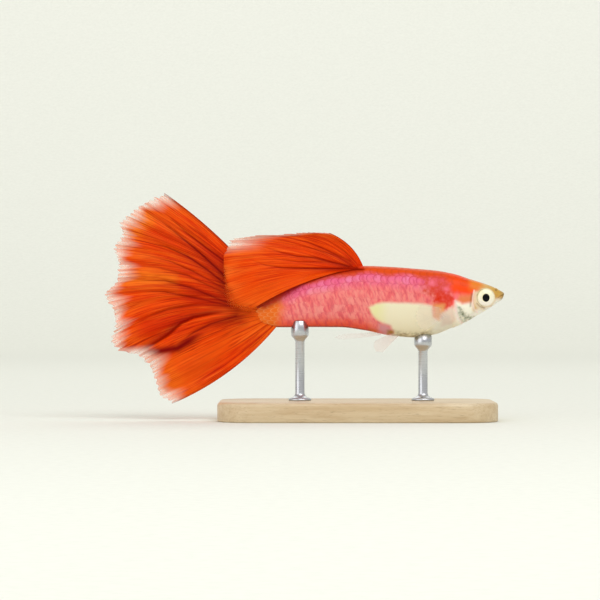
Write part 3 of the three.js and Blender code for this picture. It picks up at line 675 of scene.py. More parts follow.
def skin_material():
    r = Recipe("living skin", roughness=0.42, coat_weight=0.04, coat_roughness=0.2, specular_ior_level=0.14,
               subsurface_weight=0.15, subsurface_scale=0.5 * MM)
    r.shader.inputs["Subsurface Radius"].default_value = (1.0, 0.35, 0.2)
    fine = r.noise(5200, 4)
    stretched = r.node("ShaderNodeMapping", vector_type="TEXTURE")
    stretched.inputs["Scale"].default_value = (1.0, 3.0, 3.2)
    stretched.inputs["Rotation"].default_value = (0.0, -0.3, 0.0)
    r.put(stretched.inputs["Vector"], r.place())
    streaks = r.noise(2700, 2, stretched.outputs["Vector"])
    rim, tone = r.field("rim"), r.field("tone")

    def over(name, color, ragged=0.35, scale=1100.0, strength=1.0):
        values = {"Under": r.color, "Marking": linear(*color), "Mask": r.field(name, strength),
                  "Ragged": ragged, "Scale": scale}
        r.color = r.filled("ShaderNodeGroup", {"node_tree": MARKING}, values).outputs["Color"]

    r.begin(tone, (252, 112, 112), (255, 142, 134))
    r.lay(r.span(streaks, 0.48, 0.64, 0.0, 0.55), 255, 158, 142)
    over("upper", (240, 84, 136), 0.6, 1500.0, 0.85)
    over("lower", (252, 90, 62), 0.4)
    over("rear", (255, 104, 84), 0.4, 1100.0, 0.8)
    # Painted highlight: the middles of some scales on the upper flank are laid paler pink
    pale = r.times(r.math("SUBTRACT", 1.0, rim), r.span(tone, 0.55, 1.0, 0.1, 0.5))
    r.lay(r.times(pale, r.field("upper")), 250, 150, 190)
    outlined = r.times(rim, r.span(r.field("upper"), 0.0, 1.0, 0.2, 0.7))
    r.lay(outlined, 206, 40, 78)
    r.lay(r.span(streaks, 0.34, 0.48, 0.5, 0.0), 220, 66, 84)
    over("back", (232, 74, 0), 0.7, 1500.0)
    scaled_back = r.times(rim, r.span(r.field("back"), 0.0, 1.0, 0.0, 0.4))
    r.lay(scaled_back, 188, 44, 6)
    over("front_wash", (226, 64, 40), 1.3, 1900.0, 0.8)
    over("pink_spots", (255, 118, 140), 0.6, 1800.0, 0.8)
    over("nape", (248, 72, 0), 0.5)
    r.lay(r.times(rim, r.field("nape", 0.3)), 206, 48, 4)
    over("flank_spot", (230, 44, 4), 1.3, 1900.0, 0.85)
    over("stalk", (246, 110, 24), 0.5)
    r.lay(r.times(rim, r.field("stalk", 0.32)), 250, 196, 130)
    for marking in TOP_MARKINGS:
        over(*marking)
    r.lay(r.field("shadow", 0.85), 176, 22, 12)
    # Painted shade in the creases and the nostril
    r.lay(r.field("painted_crease_shade", 0.5), 120, 78, 48)
    r.lay(r.field("socket", 0.8), 242, 228, 194)
    r.bump(r.math("ADD", r.times(streaks, 0.5), r.times(fine, 0.5)), 0.3, 0.03 * MM)
    return r.finish(r.span(fine, 0.2, 0.8, 0.32, 0.48))


# Fins

def sheet_mesh(name, points, half, fields, material, across=(0, 1, 0)):
    """A thin closed sheet: a grid of middle points, with its half thickness to either side, mm."""
    columns, rows = points.shape[0] - 1, points.shape[1] - 1
    offset = half[..., None] * np.array(across, float)
    both_faces = np.concatenate([(points - offset).reshape(-1, 3), (points + offset).reshape(-1, 3)])
    number = np.arange((columns + 1) * (rows + 1)).reshape(columns + 1, rows + 1)
    i, j = np.meshgrid(np.arange(columns), np.arange(rows), indexing="ij")
    squares = [number[:-1, :-1], number[1:, :-1], number[1:, 1:], number[:-1, 1:]]
    grid = np.stack(squares, -1).reshape(-1, 4)
    near_uv = map_squares(i / columns, j / rows, 1 / columns, 1 / rows) * (0.49, 1.0)
    far_uv = near_uv + (0.5, 0.0)
    edge = np.concatenate([number[0], number[1:, -1], number[-1, -2::-1], number[-2::-1, 0]])
    walls = np.stack([edge[:-1], edge[1:], edge[1:] + number.size, edge[:-1] + number.size], -1)
    place = np.stack([edge // (rows + 1) / columns * 0.49, edge % (rows + 1) / rows], -1)
    wall_uv = np.stack([place[:-1], place[1:], place[1:], place[:-1]], axis=1)
    quads = np.concatenate([grid, grid[:, ::-1] + number.size, walls[:, ::-1]])
    uvs = np.concatenate([near_uv, far_uv[:, ::-1], wall_uv[:, ::-1]])
    doubled = {key: np.concatenate([value.ravel(), value.ravel()]) for key, value in fields.items()}
    return new_mesh(name, both_faces, quads, uvs, doubled, material)


def fin_grid(columns, rows):
    """Shares of the way across and along a fin, as two arrays."""
    return np.meshgrid(np.linspace(0, 1, columns + 1), np.linspace(0, 1, rows + 1), indexing="ij")


def ray_tips(margin, u, root, shortfall):
    """Where rays end, short of the margin's (place, x, z) points, and how long they are."""
    margin_x = line_through([(place, x) for place, x, _ in margin])(u)
    margin_z = line_through([(place, z) for place, _, z in margin])(u)
    length = np.hypot(margin_x - root[0], margin_z - root[1])
    kept = 1 - shortfall / length
    return (root[0] + (margin_x - root[0]) * kept, root[1] + (margin_z - root[1]) * kept), length * kept


def along_ray(root, tip, bow, t):
    """Points along bowed rays: root and tip are (x, z) arrays, t goes from 0 to 1."""
    dx, dz = tip[0] - root[0], tip[1] - root[1]
    length = np.hypot(dx, dz)
    lift = 4 * t * (1 - t) * bow
    return root[0] + dx * t - lift * dz / length, root[1] + dz * t + lift * dx / length


def ray_pattern(u, t, rays, forks, seed):
    """Bony rays that fork towards the margin: 1 on a ray and 0 between."""
    rng = np.random.default_rng(seed)
    wander = 0.22 * np.sin(u * rays * 0.9 + rng.random() * 6)
    place = u * rays + wander
    ray = np.zeros(np.shape(u))
    for fork_at, splits in forks:
        share = smooth((t - fork_at) / 0.12)
        local = np.abs(np.mod(place * splits, 1) - 0.5) * 2
        line = smooth((local - 0.62) / 0.38)
        ray = ray * (1 - share) + line * share
    return ray


TAIL_ROOT_X, TAIL_ROOT_Z, TAIL_ROOT_RADIUS = -3.6, -1.25, 2.1
TAIL_MARGIN = [
    (0.0, -18.07, 13.98), (0.06, -20.2, 13.1), (0.13, -22.6, 11.5), (0.2, -24.0, 9.95),
    (0.255, -23.75, 8.5), (0.32, -24.8, 6.9), (0.4, -24.3, 4.7), (0.47, -24.5, 2.5),
    (0.535, -26.0, 0.78), (0.6, -25.1, -1.1), (0.66, -24.75, -3.0), (0.72, -25.1, -5.1),
    (0.765, -24.3, -6.5), (0.8, -21.9, -7.25), (0.845, -20.1, -8.7), (0.895, -19.4, -10.6),
    (0.945, -18.7, -12.5), (1.0, -17.03, -13.5),
]
TAIL_RAY_TURN = line_through([(0, 72), (0.79, -18), (1, -98)])
TAIL_BOW = line_through([
    (0, -0.75), (0.1, -0.4), (0.25, -1.2), (0.4, -1.5), (0.52, -1.1), (0.64, -1.9), (0.76, -1.4),
    (0.84, -0.6), (0.92, 0.5), (1, 1.05),
])
TAIL_RAYS = 26
TAIL_FORKS = [(-0.2, 1), (0.3, 2), (0.62, 4)]   # where along the ray, and into how many
TAIL_FRAY = 0.65
TAIL_HALF_THICKNESS, TAIL_RAY_HEIGHT = 0.09, 0.045
TAIL_COLUMNS = 400
TAIL_ROWS = 112

# Pleats in the side view, mm: line, width, depth, darkness of the painted shade in the fold
TAIL_PLEATS = [
    ([(-8.2, 3.4), (-10.2, 5.06), (-12.5, 6.74), (-15.45, 9.05), (-19.0, 12.4)], 0.3, 0.4, 0.85),
    ([(-8.4, 1.4), (-10.4, 3.39), (-13.35, 6.11), (-15.87, 8.21), (-18.4, 10.3), (-21.4, 12.0)],
     0.34, 0.5, 1.0),
    ([(-8.4, 1.0), (-10.4, 2.34), (-12.5, 4.0), (-15.0, 5.7), (-17.8, 6.95), (-21.5, 7.8), (-23.6, 8.5)],
     0.3, 0.45, 0.95),
    ([(-8.4, 0.3), (-10.4, 1.6), (-14.2, 3.7), (-17.3, 5.06), (-20.5, 5.9), (-24.05, 6.5)],
     0.2, 0.3, 0.7),
    ([(-8.4, 0.0), (-10.4, 1.0), (-15.0, 3.2), (-19.4, 4.4), (-23.6, 4.64)], 0.22, 0.35, 0.65),
    ([(-8.4, -0.6), (-10.4, -0.1), (-14.2, 1.5), (-18.0, 2.55), (-23.6, 2.55)], 0.3, 0.4, 0.85),
    ([(-8.6, -0.8), (-10.2, -0.6), (-13.1, 0.1), (-18.0, 1.08), (-23.0, 1.29)], 0.3, 0.35, 0.8),
    ([(-9.4, -0.9), (-13.1, -0.5), (-17.3, -1.1), (-19.9, -2.07), (-23.0, -3.75)], 0.24, 0.35, 0.6),
    ([(-8.7, -2.1), (-12.1, -3.12), (-14.2, -4.17), (-15.9, -5.42), (-18.4, -6.26)], 0.4, 0.3, 0.9),
    ([(-7.9, -2.3), (-10.8, -4.0), (-14.2, -5.6)], 0.2, 0.15, 0.4),
    ([(-7.6, -3.0), (-9.6, -4.2), (-12.3, -6.0)], 0.2, 0.15, 0.35),
]
LOBE_FOLD = [
    (-8.3, -1.44), (-12.1, -1.86), (-14.2, -2.28), (-15.9, -3.12), (-17.55, -4.59), (-19.9, -6.05),
    (-21.5, -6.9), (-24.6, -6.6),
]
LOBE_SHADOW = [(-12.6, -3.9), (-14.6, -5.2), (-16.3, -6.25), (-18.3, -6.6), (-20.8, -6.9)]
LOWER_LOBE_GOLD = [
    (-19.6, -7.4), (-17.0, -8.3), (-15.8, -10.6), (-16.4, -12.6), (-19.0, -13.6), (-20.8, -9.0),
]
LOWER_LOBE_CALM = [
    (-20.5, -7.8), (-14.0, -6.8), (-9.0, -3.8), (-9.6, -6.2), (-14.0, -11.0), (-18.0, -14.0),
]
UPPER_LOBE_GOLD = [(-20.5, 12.9), (-19.4, 10.2), (-22.0, 7.6), (-25.0, 7.0), (-25.0, 11.0)]
MIDDLE_GOLD = [(-20.0, 3.9), (-16.5, 3.2), (-16.5, 1.8), (-24.0, 2.0), (-25.0, 4.0)]
DEEP_ZONES = [
    [(-15.4, -9.2), (-12.4, -7.6), (-10.3, -8.6), (-13.0, -11.2)],
    [(-15.4, 1.6), (-12.1, 2.4), (-8.5, 0.4), (-8.5, -1.3), (-12.5, -0.9), (-15.4, -0.6)],
    [(-13.6, 7.4), (-10.6, 6.4), (-8.0, 3.4), (-8.0, 1.4), (-12.2, 4.4)],
    [(-21.4, -2.2), (-17.0, -1.8), (-14.0, -2.5), (-16.0, -3.8), (-19.0, -4.8), (-21.4, -4.6)],
]


def pleats(lines, x, z):
    """Depth of the pleats at each point and the painted shade in their folds."""
    depth = np.zeros(np.shape(x))
    painted_shade = np.zeros(np.shape(x))
    for points, width, deep, shade in lines:
        distance, along, side = near_line(points, x, z)
        spread = np.where(side > 0, 1.5, 0.75) * width * (1.25 - 0.75 * along)
        fade = smooth((1.02 - along) / 0.6)
        depth += 0.75 * deep * ridge(distance, spread) * fade
        core = ridge(distance, 0.45 * spread)
        halo = ridge(distance, 1.5 * spread) * (1 - along)
        painted_shade = np.maximum(painted_shade, shade * fade * np.maximum(core, 0.75 * halo))
    return depth, painted_shade


def frayed_length(u, rays, seed, deepest):
    """How far the margin falls short of its outline: ray tips stand out, webs fall back."""
    rng = np.random.default_rng(seed)
    knots = rng.random(rays * 4 + 1)
    broad = np.interp(u * rays * 4, np.arange(rays * 4 + 1), knots)
    web = 1 - np.abs(np.mod(u * rays * 2, 1) - 0.5) * 2
    return deepest * (0.55 * broad + 0.45 * smooth(web))


def make_tail_fin(material):
    u, t = fin_grid(TAIL_COLUMNS, TAIL_ROWS)
    angle = np.radians(TAIL_RAY_TURN(u))
    root = (TAIL_ROOT_X - TAIL_ROOT_RADIUS * np.cos(angle), TAIL_ROOT_Z + TAIL_ROOT_RADIUS * np.sin(angle))
    tip, length = ray_tips(TAIL_MARGIN, u, root, frayed_length(u, TAIL_RAYS, seed=3, deepest=TAIL_FRAY))
    x, z = along_ray(root, tip, TAIL_BOW(u), t)
    ray = ray_pattern(u, t, TAIL_RAYS, TAIL_FORKS, seed=4)
    depth, painted_shade = pleats(TAIL_PLEATS, x, z)
    fold, along, side = near_line(LOBE_FOLD, x, z)
    over = np.where(side > 0, -1.0, 1.0)
    step = np.tanh(over * fold / 0.22) * smooth((-8 - x) / 9)
    # Painted shadow under the upper lobe's edge, where it lies over the lower lobe
    fold_shadow = ridge(fold, np.where(side > 0, 0.14, 0.6)) * smooth(along / 0.25)
    painted_shade = np.maximum(painted_shade, 0.9 * fold_shadow * smooth((1.05 - along) / 0.3))
    shadow, along_shadow, _ = near_line(LOBE_SHADOW, x, z)
    painted_shade = np.maximum(painted_shade, ridge(shadow, 0.55) * smooth(along_shadow / 0.4 + 0.2))
    gold = sum(inside(zone, 0.9, x, z) for zone in (LOWER_LOBE_GOLD, UPPER_LOBE_GOLD, MIDDLE_GOLD))
    deep = sum(inside(zone, 1.1, x, z) for zone in DEEP_ZONES)
    calm = inside(LOWER_LOBE_CALM, 1.0, x, z)
    spread = smooth((t - 0.15) / 0.6)
    y = 0.9 * step + spread * (depth + 0.16 * np.sin(np.pi * TAIL_RAYS * u) * t)
    y += 0.35 * spread * np.sin(u * 9.0)
    half = TAIL_HALF_THICKNESS * (1 - 0.55 * smooth((t - 0.6) / 0.4)) + TAIL_RAY_HEIGHT * ray * (1 - 0.5 * t)
    half *= 1 + 1.6 * smooth((0.3 - t) / 0.3)
    within = body_half_width_at(x, z)
    half = np.where(within > 0, np.maximum(half, within - 0.03 + 0.06 * smooth(t / 0.05)), half)
    fringe_width = 2.4 + 0.7 * np.sin(u * 47) + 0.5 * np.sin(u * 113)
    fringe = smooth(1 - (1 - t) * length / fringe_width)
    fields = {"across": u, "along": t, "ray": ray, "painted_shade": painted_shade * smooth((t - 0.02) / 0.1), "fringe": fringe,
              "melt": np.zeros(u.shape), "gold": gold, "deep": deep, "calm": calm,
              "edge": smooth((0.012 - u) / 0.01) + smooth((u - 0.992) / 0.008)}
    return sheet_mesh("tail_fin_membrane", np.stack([x, y, z], -1), half, fields, material)


DORSAL_ROOT_FRONT = (8.0, 3.9)
DORSAL_ROOT_REAR = (4.9, 3.7)
DORSAL_MARGIN = [
    (0.0, 3.51, 8.71), (0.1, 0.39, 8.8), (0.22, -4.07, 8.53), (0.34, -8.55, 8.16),
    (0.42, -10.05, 7.28), (0.52, -10.3, 5.2), (0.66, -10.3, 2.6), (0.8, -10.3, 0.5),
    (0.9, -9.8, -0.9), (1.0, -7.2, -1.6),
]
DORSAL_BOW = line_through([(0, -0.75), (0.2, -1.5), (0.45, -1.1), (1, -0.6)])
DORSAL_SIDE_CLEARANCE = 0.5
DORSAL_LEAST_SIDE = 1.5
DORSAL_TURN_LENGTH = line_through([
    (0, 3.0), (0.35, 1.6), (0.5, 1.0), (0.7, 0.8), (0.85, 0.7), (1, 0.6),
])
DORSAL_CREASE = [
    (7.0, 4.15), (3.5, 4.08), (0.5, 4.12), (-2.66, 4.18), (-4.96, 4.54), (-6.85, 5.27), (-8.74, 6.11),
]
DORSAL_PLEATS = [
    (DORSAL_CREASE, 0.16, 0.25, 0.95),
    ([(6.1, 4.33), (1.5, 5.5), (-0.77, 5.69), (-2.66, 6.11), (-4.96, 6.85), (-7.48, 7.79)],
     0.16, 0.22, 0.85),
    ([(6.3, 4.4), (3.0, 4.95), (-0.5, 4.95), (-3.4, 5.3), (-6.4, 6.3)], 0.13, 0.14, 0.6),
    ([(6.1, 5.06), (3.0, 6.53), (0.5, 7.58), (-3.1, 8.0)], 0.16, 0.15, 0.65),
    ([(6.4, 4.6), (4.2, 5.8), (1.6, 6.6), (-1.6, 7.3), (-4.4, 7.9)], 0.13, 0.12, 0.6),
    ([(6.8, 4.9), (5.4, 6.3), (3.4, 7.6), (1.6, 8.3)], 0.12, 0.1, 0.4),
]
DORSAL_RAYS = 18
DORSAL_FORKS = [(-0.2, 1), (0.45, 2), (0.7, 4)]
DORSAL_FRAYS = 22
DORSAL_HALF_THICKNESS, DORSAL_RAY_HEIGHT = 0.08, 0.035
DORSAL_COLUMNS = 300
DORSAL_ROWS = 110


def make_dorsal_fin(material):
    u, t = fin_grid(DORSAL_COLUMNS, DORSAL_ROWS)
    root = tuple(front + (rear - front) * u for front, rear in zip(DORSAL_ROOT_FRONT, DORSAL_ROOT_REAR))
    deepest = 0.9 * smooth((u - 0.06) / 0.1) * smooth((0.5 - u) / 0.08) + 0.06
    shortfall = frayed_length(u, DORSAL_FRAYS, seed=8, deepest=1.0) * deepest
    tip, length = ray_tips(DORSAL_MARGIN, u, root, shortfall)
    x, z = along_ray(root, tip, DORSAL_BOW(u), t)
    reach = np.maximum(half_width_line(x) + DORSAL_SIDE_CLEARANCE, DORSAL_LEAST_SIDE)
    within = body_half_width_at(x, z)
    hug = np.where(within > 0, (within + 0.1) * smooth(t / 0.02) + 0.2 * smooth(t / 0.3), 0)
    y = -np.maximum(reach * smooth(t / DORSAL_TURN_LENGTH(u)), hug)
    ray = ray_pattern(u, t, DORSAL_RAYS, DORSAL_FORKS, seed=9)
    depth, painted_shade = pleats(DORSAL_PLEATS, x, z)
    y += depth * smooth(t / 0.3)
    upright = smooth((0.5 - u) / 0.12)
    half = (DORSAL_HALF_THICKNESS * (1 - 0.5 * smooth((t - 0.6) / 0.4))
            + DORSAL_RAY_HEIGHT * ray * (0.35 + 0.65 * upright))
    half *= 1 + 1.4 * smooth((0.2 - t) / 0.2)
    rear = smooth((u - 0.08) / 0.3)
    from_tip = (1 - t) * length
    fringe = smooth(1 - from_tip / (0.8 + 4.4 * rear)) * smooth((0.5 - u) / 0.08) * (0.5 + 0.5 * rear)
    melt = smooth(1 - from_tip / (0.5 + 1.6 * smooth((u - 0.6) / 0.3))) * smooth((u - 0.5) / 0.15)
    none = np.zeros(u.shape)
    fields = {"across": u, "along": t, "ray": ray * (0.25 + 0.75 * upright), "painted_shade": painted_shade,
              "fringe": fringe, "melt": melt, "gold": none, "deep": none,
              "calm": 0.7 * smooth((u - 0.72) / 0.2), "edge": smooth((0.012 - u) / 0.01)}
    return sheet_mesh("dorsal_fin_membrane", np.stack([x, y, z], -1), half, fields, material)


def fin_material(name, orange, pale_orange, root_orange):
    r = Recipe(name, roughness=0.5, specular_ior_level=0.05, subsurface_weight=0.1,
               subsurface_scale=0.4 * MM)
    r.shader.inputs["Subsurface Radius"].default_value = (1.0, 0.3, 0.1)
    across, along, ray = r.field("across"), r.field("along"), r.field("ray")

    def streak(rays, lengthways, detail):
        place = r.vector(r.times(across, rays), r.times(along, lengthways))
        return r.noise(1.0, detail, place)

    threads, bands, patches = streak(190.0, 2.6, 2), streak(60.0, 2.2, 3), streak(14.0, 3.2, 2)
    r.begin(r.span(along, 0.05, 0.35), root_orange, orange)
    outer = r.times(r.span(along, 0.5, 0.95), r.span(patches, 0.3, 0.65), clamp=True)
    r.lay(outer, *pale_orange)
    r.lay(r.field("gold", 0.75), 240, 124, 26)
    r.lay(r.field("deep", 0.6), 200, 34, 0)
    r.lay(r.span(bands, 0.5, 0.64, 0.0, 0.65), 196, 34, 0)
    r.lay(r.span(bands, 0.3, 0.46, 0.5, 0.0), 246, 108, 24)
    r.lay(r.span(threads, 0.55, 0.63, 0.0, 0.7), 162, 20, 0)
    r.lay(r.span(threads, 0.3, 0.42, 0.35, 0.0), 250, 124, 44)
    r.lay(r.times(ray, 0.25), 186, 32, 0)
    r.lay(r.span(ray, 0.55, 0.95, 0.0, 0.45), 158, 22, 0)
    r.lay(r.field("calm", 0.55), 230, 88, 10)
    # Painted shade in the folds of the pleats and under the lobe fold
    r.lay(r.field("painted_shade"), 122, 0, 0)
    fringe = r.field("fringe")
    pale = r.times(fringe, r.span(threads, 0.35, 0.6, 1.0, 0.7), clamp=True)
    r.lay(pale, 252, 198, 174)
    r.lay(r.field("edge", 0.6), 120, 40, 14)
    fade = r.times(r.math("POWER", fringe, 1.4), r.span(threads, 0.4, 0.62, 0.85, 0.3))
    whole = r.math("SUBTRACT", 1.0, r.field("melt"))
    r.put(r.shader.inputs["Alpha"], r.math("SUBTRACT", whole, fade, clamp=True))
    height = r.math("ADD", ray, r.times(bands, 0.5))
    r.bump(height, 0.4, 0.04 * MM)
    return r.finish(r.span(bands, 0.2, 0.8, 0.36, 0.54))


# Small clear fins: a fan in its own plane

def make_small_fan(name, material, rays, length, spread, root_width, base, direction, up, cup, seed):
    forward = np.array(direction, float)
    forward /= np.linalg.norm(forward)
    across = np.cross(up, forward)
    across /= np.linalg.norm(across)
    upward = np.cross(forward, across)
    u, t = fin_grid(rays * 10, 40)
    angle = np.radians(spread) * (0.5 - u)
    rounded = 1 - 0.16 * (2 * u - 1) ** 2 - frayed_length(u, rays, seed, 0.09)
    reach = length * t * rounded
    points = (np.array(base, float) + forward * (reach * np.cos(angle))[..., None]
              + upward * (reach * np.sin(angle) + root_width * (0.5 - u))[..., None]
              + across * (cup * t * t)[..., None])
    ray = ray_pattern(u, t, rays, [(-0.2, 1), (0.5, 2)], seed)
    half = (0.06 - 0.035 * t) + 0.03 * ray * (1 - 0.6 * t)
    fields = {"across": u, "along": t, "ray": ray}
    return sheet_mesh(name, points, half, fields, material, across)


PECTORAL_FIN = dict(seed=41, rays=12, length=5.2, spread=38, root_width=0.8, cup=-0.5,
                    base=(18.9, 1.8, -1.5), direction=(-0.93, 0.36, -0.2), up=(-0.15, 0.1, 1))
PELVIC_FIN = dict(seed=51, rays=6, length=4.3, spread=20, root_width=0.55, cup=0,
                  base=(12.6, 0.62, -4.1), direction=(-0.86, 0.2, -0.62), up=(-0.6, 0, 1))
GONOPODIUM = dict(seed=31, rays=3, length=6.1, spread=4, root_width=0.42, cup=0,
                  base=(10.1, 0, -4.35), direction=(-0.995, 0, -0.09), up=(0, 0, 1))


def mirrored(fan, side):
    """A fan of the left side, or the same on the right side where side is -1."""
    turned = {key: np.array(fan[key]) * (1, side, 1) for key in ("base", "direction", "up")}
    return {**fan, **turned, "cup": side * fan["cup"]}


def clear_fin_material(name, tint, clearness):
    r = Recipe(name, roughness=0.3, coat_weight=0.2)
    ray, along = r.field("ray"), r.field("along")
    streaks = r.noise(1.0, 3, r.vector(r.field("across", 40.0), r.times(along, 4.0)))
    r.begin(r.times(ray, 0.5), tint, (196, 164, 150))
    r.lay(r.span(streaks, 0.3, 0.7, 0.0, 0.3), 252, 240, 232)
    web = r.span(along, 0.0, 0.9, 1 - clearness + 0.12, 1 - clearness)
    r.put(r.shader.inputs["Alpha"], r.math("ADD", r.times(ray, 0.16), web, clamp=True))
    r.bump(ray, 0.4, 0.03 * MM)
    return r.finish()


# Eyes

IRIS_PROFILE = line_through([
    (0, 0.63), (0.5, 0.61), (0.75, 0.56), (0.95, 0.48), (1.08, 0.4), (1.15, 0.33),
])


def side_disc(name, side, centre, ovals, steps, map_width, material):
    """A closed disc that faces sideways: ovals of half length, half height and how far out."""
    turn = np.linspace(0, 2 * np.pi, steps, endpoint=False)
    rings = [np.stack([centre[0] + half_length * np.cos(turn), np.full(steps, side * out),
                       centre[1] + half_height * np.sin(turn)], -1)
             for half_length, half_height, out in ovals]

    def flatten(corners):
        return (corners[..., [0, 2]] - (EYE_X, EYE_Z)) / map_width + 0.5

    return ringed_solid(name, rings, material, flatten)


def make_iris(side, word, material):
    ovals = [(r, r, EYE_Y + IRIS_PROFILE(r)) for r in np.linspace(0, EYE_RADIUS, 45)[1:]]
    ovals.append((0.8, 0.8, EYE_Y - 0.45))
    return side_disc(f"eye_{word}_iris", side, (EYE_X, EYE_Z), ovals, 72, 3 * EYE_RADIUS, material)


PUPIL_HALF_WIDTH, PUPIL_HALF_HEIGHT = 0.48, 0.55
PUPIL_CENTRE = (EYE_X + 0.03, EYE_Z - 0.02)
PUPIL_FOOT, PUPIL_EDGE, PUPIL_RISE = 0.5, 0.58, 0.12


def make_pupil(side, word, material):
    """A low oval dome that stands on the iris."""
    ovals = []
    for share in np.linspace(0.06, 1, 16):
        out = PUPIL_EDGE + PUPIL_RISE * math.sqrt(1 - share**2)
        ovals.append((PUPIL_HALF_WIDTH * share, PUPIL_HALF_HEIGHT * share, EYE_Y + out))
    ovals.append((PUPIL_HALF_WIDTH, PUPIL_HALF_HEIGHT, EYE_Y + PUPIL_FOOT))
    return side_disc(f"eye_{word}_pupil", side, PUPIL_CENTRE, ovals, 48, 2, material)


def iris_material():
    r = Recipe("iris", roughness=0.3, coat_weight=0.6, coat_roughness=0.03)
    axes = r.axes()
    dx = r.math("SUBTRACT", axes["X"], EYE_X * MM)
    dz = r.math("SUBTRACT", axes["Z"], (EYE_Z + MIDDLE_LINE) * MM)
    radius = r.math("SQRT", r.math("ADD", r.times(dx, dx), r.times(dz, dz)))
    fine = r.noise(9000, 4)
    r.begin(r.span(dz, -0.8 * MM, 1.0 * MM), (244, 236, 222), (244, 240, 196))
    r.lay(r.span(fine, 0.45, 0.75, 0.0, 0.35), 255, 250, 236)
    r.lay(r.span(radius, 0.98 * MM, 1.14 * MM, 0.0, 0.7), 240, 226, 188)
    r.lay(r.span(radius, 0.6 * MM, 0.5 * MM, 0.0, 0.6), 226, 214, 150)
    r.bump(fine, 0.2, 0.02 * MM)
    return r.finish()


def pupil_material():
    r = Recipe("pupil", roughness=0.1, coat_weight=0.05, coat_roughness=0.02, specular_ior_level=0.12)
    fine = r.noise(1500, 2)
    r.begin(r.span(fine, 0.3, 0.7), (3, 3, 4), (7, 6, 8))
    return r.finish()


# Stand

ROD_RADIUS = 0.6
ROD_FOOT_RADIUS = 1.5
ROD_CRADLE_RADIUS = 1.15


def make_rod(name, node, material):
    low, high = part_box(node)
    x = (low.x + high.x) / 2 / MM
    foot = base_high.z / MM - MIDDLE_LINE
    belly = float(belly_line(np.array(x)))
    cradle = belly - 1.1
    profile = [
        (0.02, foot), (ROD_FOOT_RADIUS - 0.08, foot), (ROD_FOOT_RADIUS, foot + 0.1),
        (ROD_FOOT_RADIUS - 0.05, foot + 0.3), (0.95, foot + 0.5), (ROD_RADIUS + 0.08, foot + 0.75),
        (ROD_RADIUS, foot + 1.0), (ROD_RADIUS, cradle - 0.75), (ROD_RADIUS + 0.1, cradle - 0.5),
        (ROD_CRADLE_RADIUS - 0.08, cradle - 0.08), (ROD_CRADLE_RADIUS, cradle + 0.1),
    ]
    steps = 48
    turn = np.linspace(0, 2 * np.pi, steps, endpoint=False)
    rings = [np.stack([x + r * np.cos(turn), r * np.sin(turn), np.full(steps, h)], -1) for r, h in profile]
    for radius in (ROD_CRADLE_RADIUS, ROD_CRADLE_RADIUS - 0.1, 0.7, 0.35, 0.02):
        ring_x, ring_y = x + radius * np.cos(turn), radius * np.sin(turn)
        half, low_z = half_width_line(ring_x), belly_line(ring_x)
        widest = low_z + WIDEST_HEIGHT * (back_line(ring_x) - low_z)
        power = BELLY_SQUARENESS(ring_x)
        share = np.clip(np.abs(ring_y) / half, 0, 0.999)
        height = widest - (widest - low_z) * (1 - share**power) ** (1 / power)
        rise = -0.1 if radius == ROD_CRADLE_RADIUS else 0.0
        rings.append(np.stack([ring_x, ring_y, np.minimum(height, belly + 0.9) + rise], -1))
    return ringed_solid(name, rings, material)


def steel_material():
    r = Recipe("brushed steel rod", metallic=1.0, roughness=0.3, anisotropic=0.5)
    axes = r.axes()
    rings = r.noise(1.0, 2, r.vector(r.times(axes["Z"], 9000.0), r.times(axes["X"], 300.0)))
    r.begin(r.span(rings, 0.3, 0.7), (190, 192, 196), (206, 207, 210))
    r.bump(rings, 0.05, 0.01 * MM)
    return r.finish(r.span(rings, 0.3, 0.7, 0.26, 0.34))


def maple_material():
    r = Recipe("oiled maple", roughness=0.45, coat_weight=0.15, coat_roughness=0.3)
    axes = r.axes()
    stretch = (("X", 40.0), ("Y", 420.0), ("Z", 420.0))
    lengthways = r.vector(*(r.times(axes[axis], scale) for axis, scale in stretch))
    bands = r.noise(1.0, 3, lengthways)
    grain = r.noise(6.0, 5, lengthways, 0.7)
    pores = r.noise(22.0, 2, lengthways)
    r.begin(r.span(bands, 0.35, 0.65), (222, 202, 168), (204, 178, 138))
    r.lay(r.span(grain, 0.45, 0.7, 0.0, 0.5), 182, 150, 108)
    r.lay(r.span(pores, 0.62, 0.72, 0.0, 0.4), 140, 108, 72)
    r.bump(grain, 0.2, 0.05 * MM)
    return r.finish(r.span(grain, 0.3, 0.7, 0.4, 0.55))


BASE_CORNER = 5.0
BASE_EDGE = 0.45
BASE_MAP_WIDTH = 60


def make_base(material):
    """The base as one rounded slab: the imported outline, with a fine edge and a wooden top."""
    half_length = (base_high.x - base_low.x) / 2 / MM
    half_width = (base_high.y - base_low.y) / 2 / MM
    centre_x = (base_high.x + base_low.x) / 2 / MM
    quarter, share = np.meshgrid(np.arange(4), np.arange(17) / 16, indexing="ij")
    angle = (math.pi / 2 * (quarter + share)).ravel()
    corner_x = centre_x + (half_length - BASE_CORNER) * np.repeat([1, -1, -1, 1], 17)
    corner_y = (half_width - BASE_CORNER) * np.repeat([1, 1, -1, -1], 17)
    top = base_high.z / MM - MIDDLE_LINE
    bottom = base_low.z / MM - MIDDLE_LINE
    levels = [(-0.35, bottom), (-0.1, bottom + 0.05), (0.0, bottom + 0.2), (0.0, top - BASE_EDGE)]
    for turn in np.linspace(0, math.pi / 2, 8)[1:]:
        levels.append((-BASE_EDGE * (1 - math.cos(turn)), top - BASE_EDGE * (1 - math.sin(turn))))
    levels += [(-2.0, top), (-4.5, top)]
    rings = [np.stack([corner_x + (BASE_CORNER + inset) * np.cos(angle),
                       corner_y + (BASE_CORNER + inset) * np.sin(angle),
                       np.full(len(angle), height)], -1) for inset, height in levels]

    def flatten(corners):
        x, y, z = np.moveaxis(corners, -1, 0)
        return np.stack([x, y + z], -1) / BASE_MAP_WIDTH + 0.5

    return ringed_solid("stand_base_maple", rings, material, flatten)


# Everything that is the object

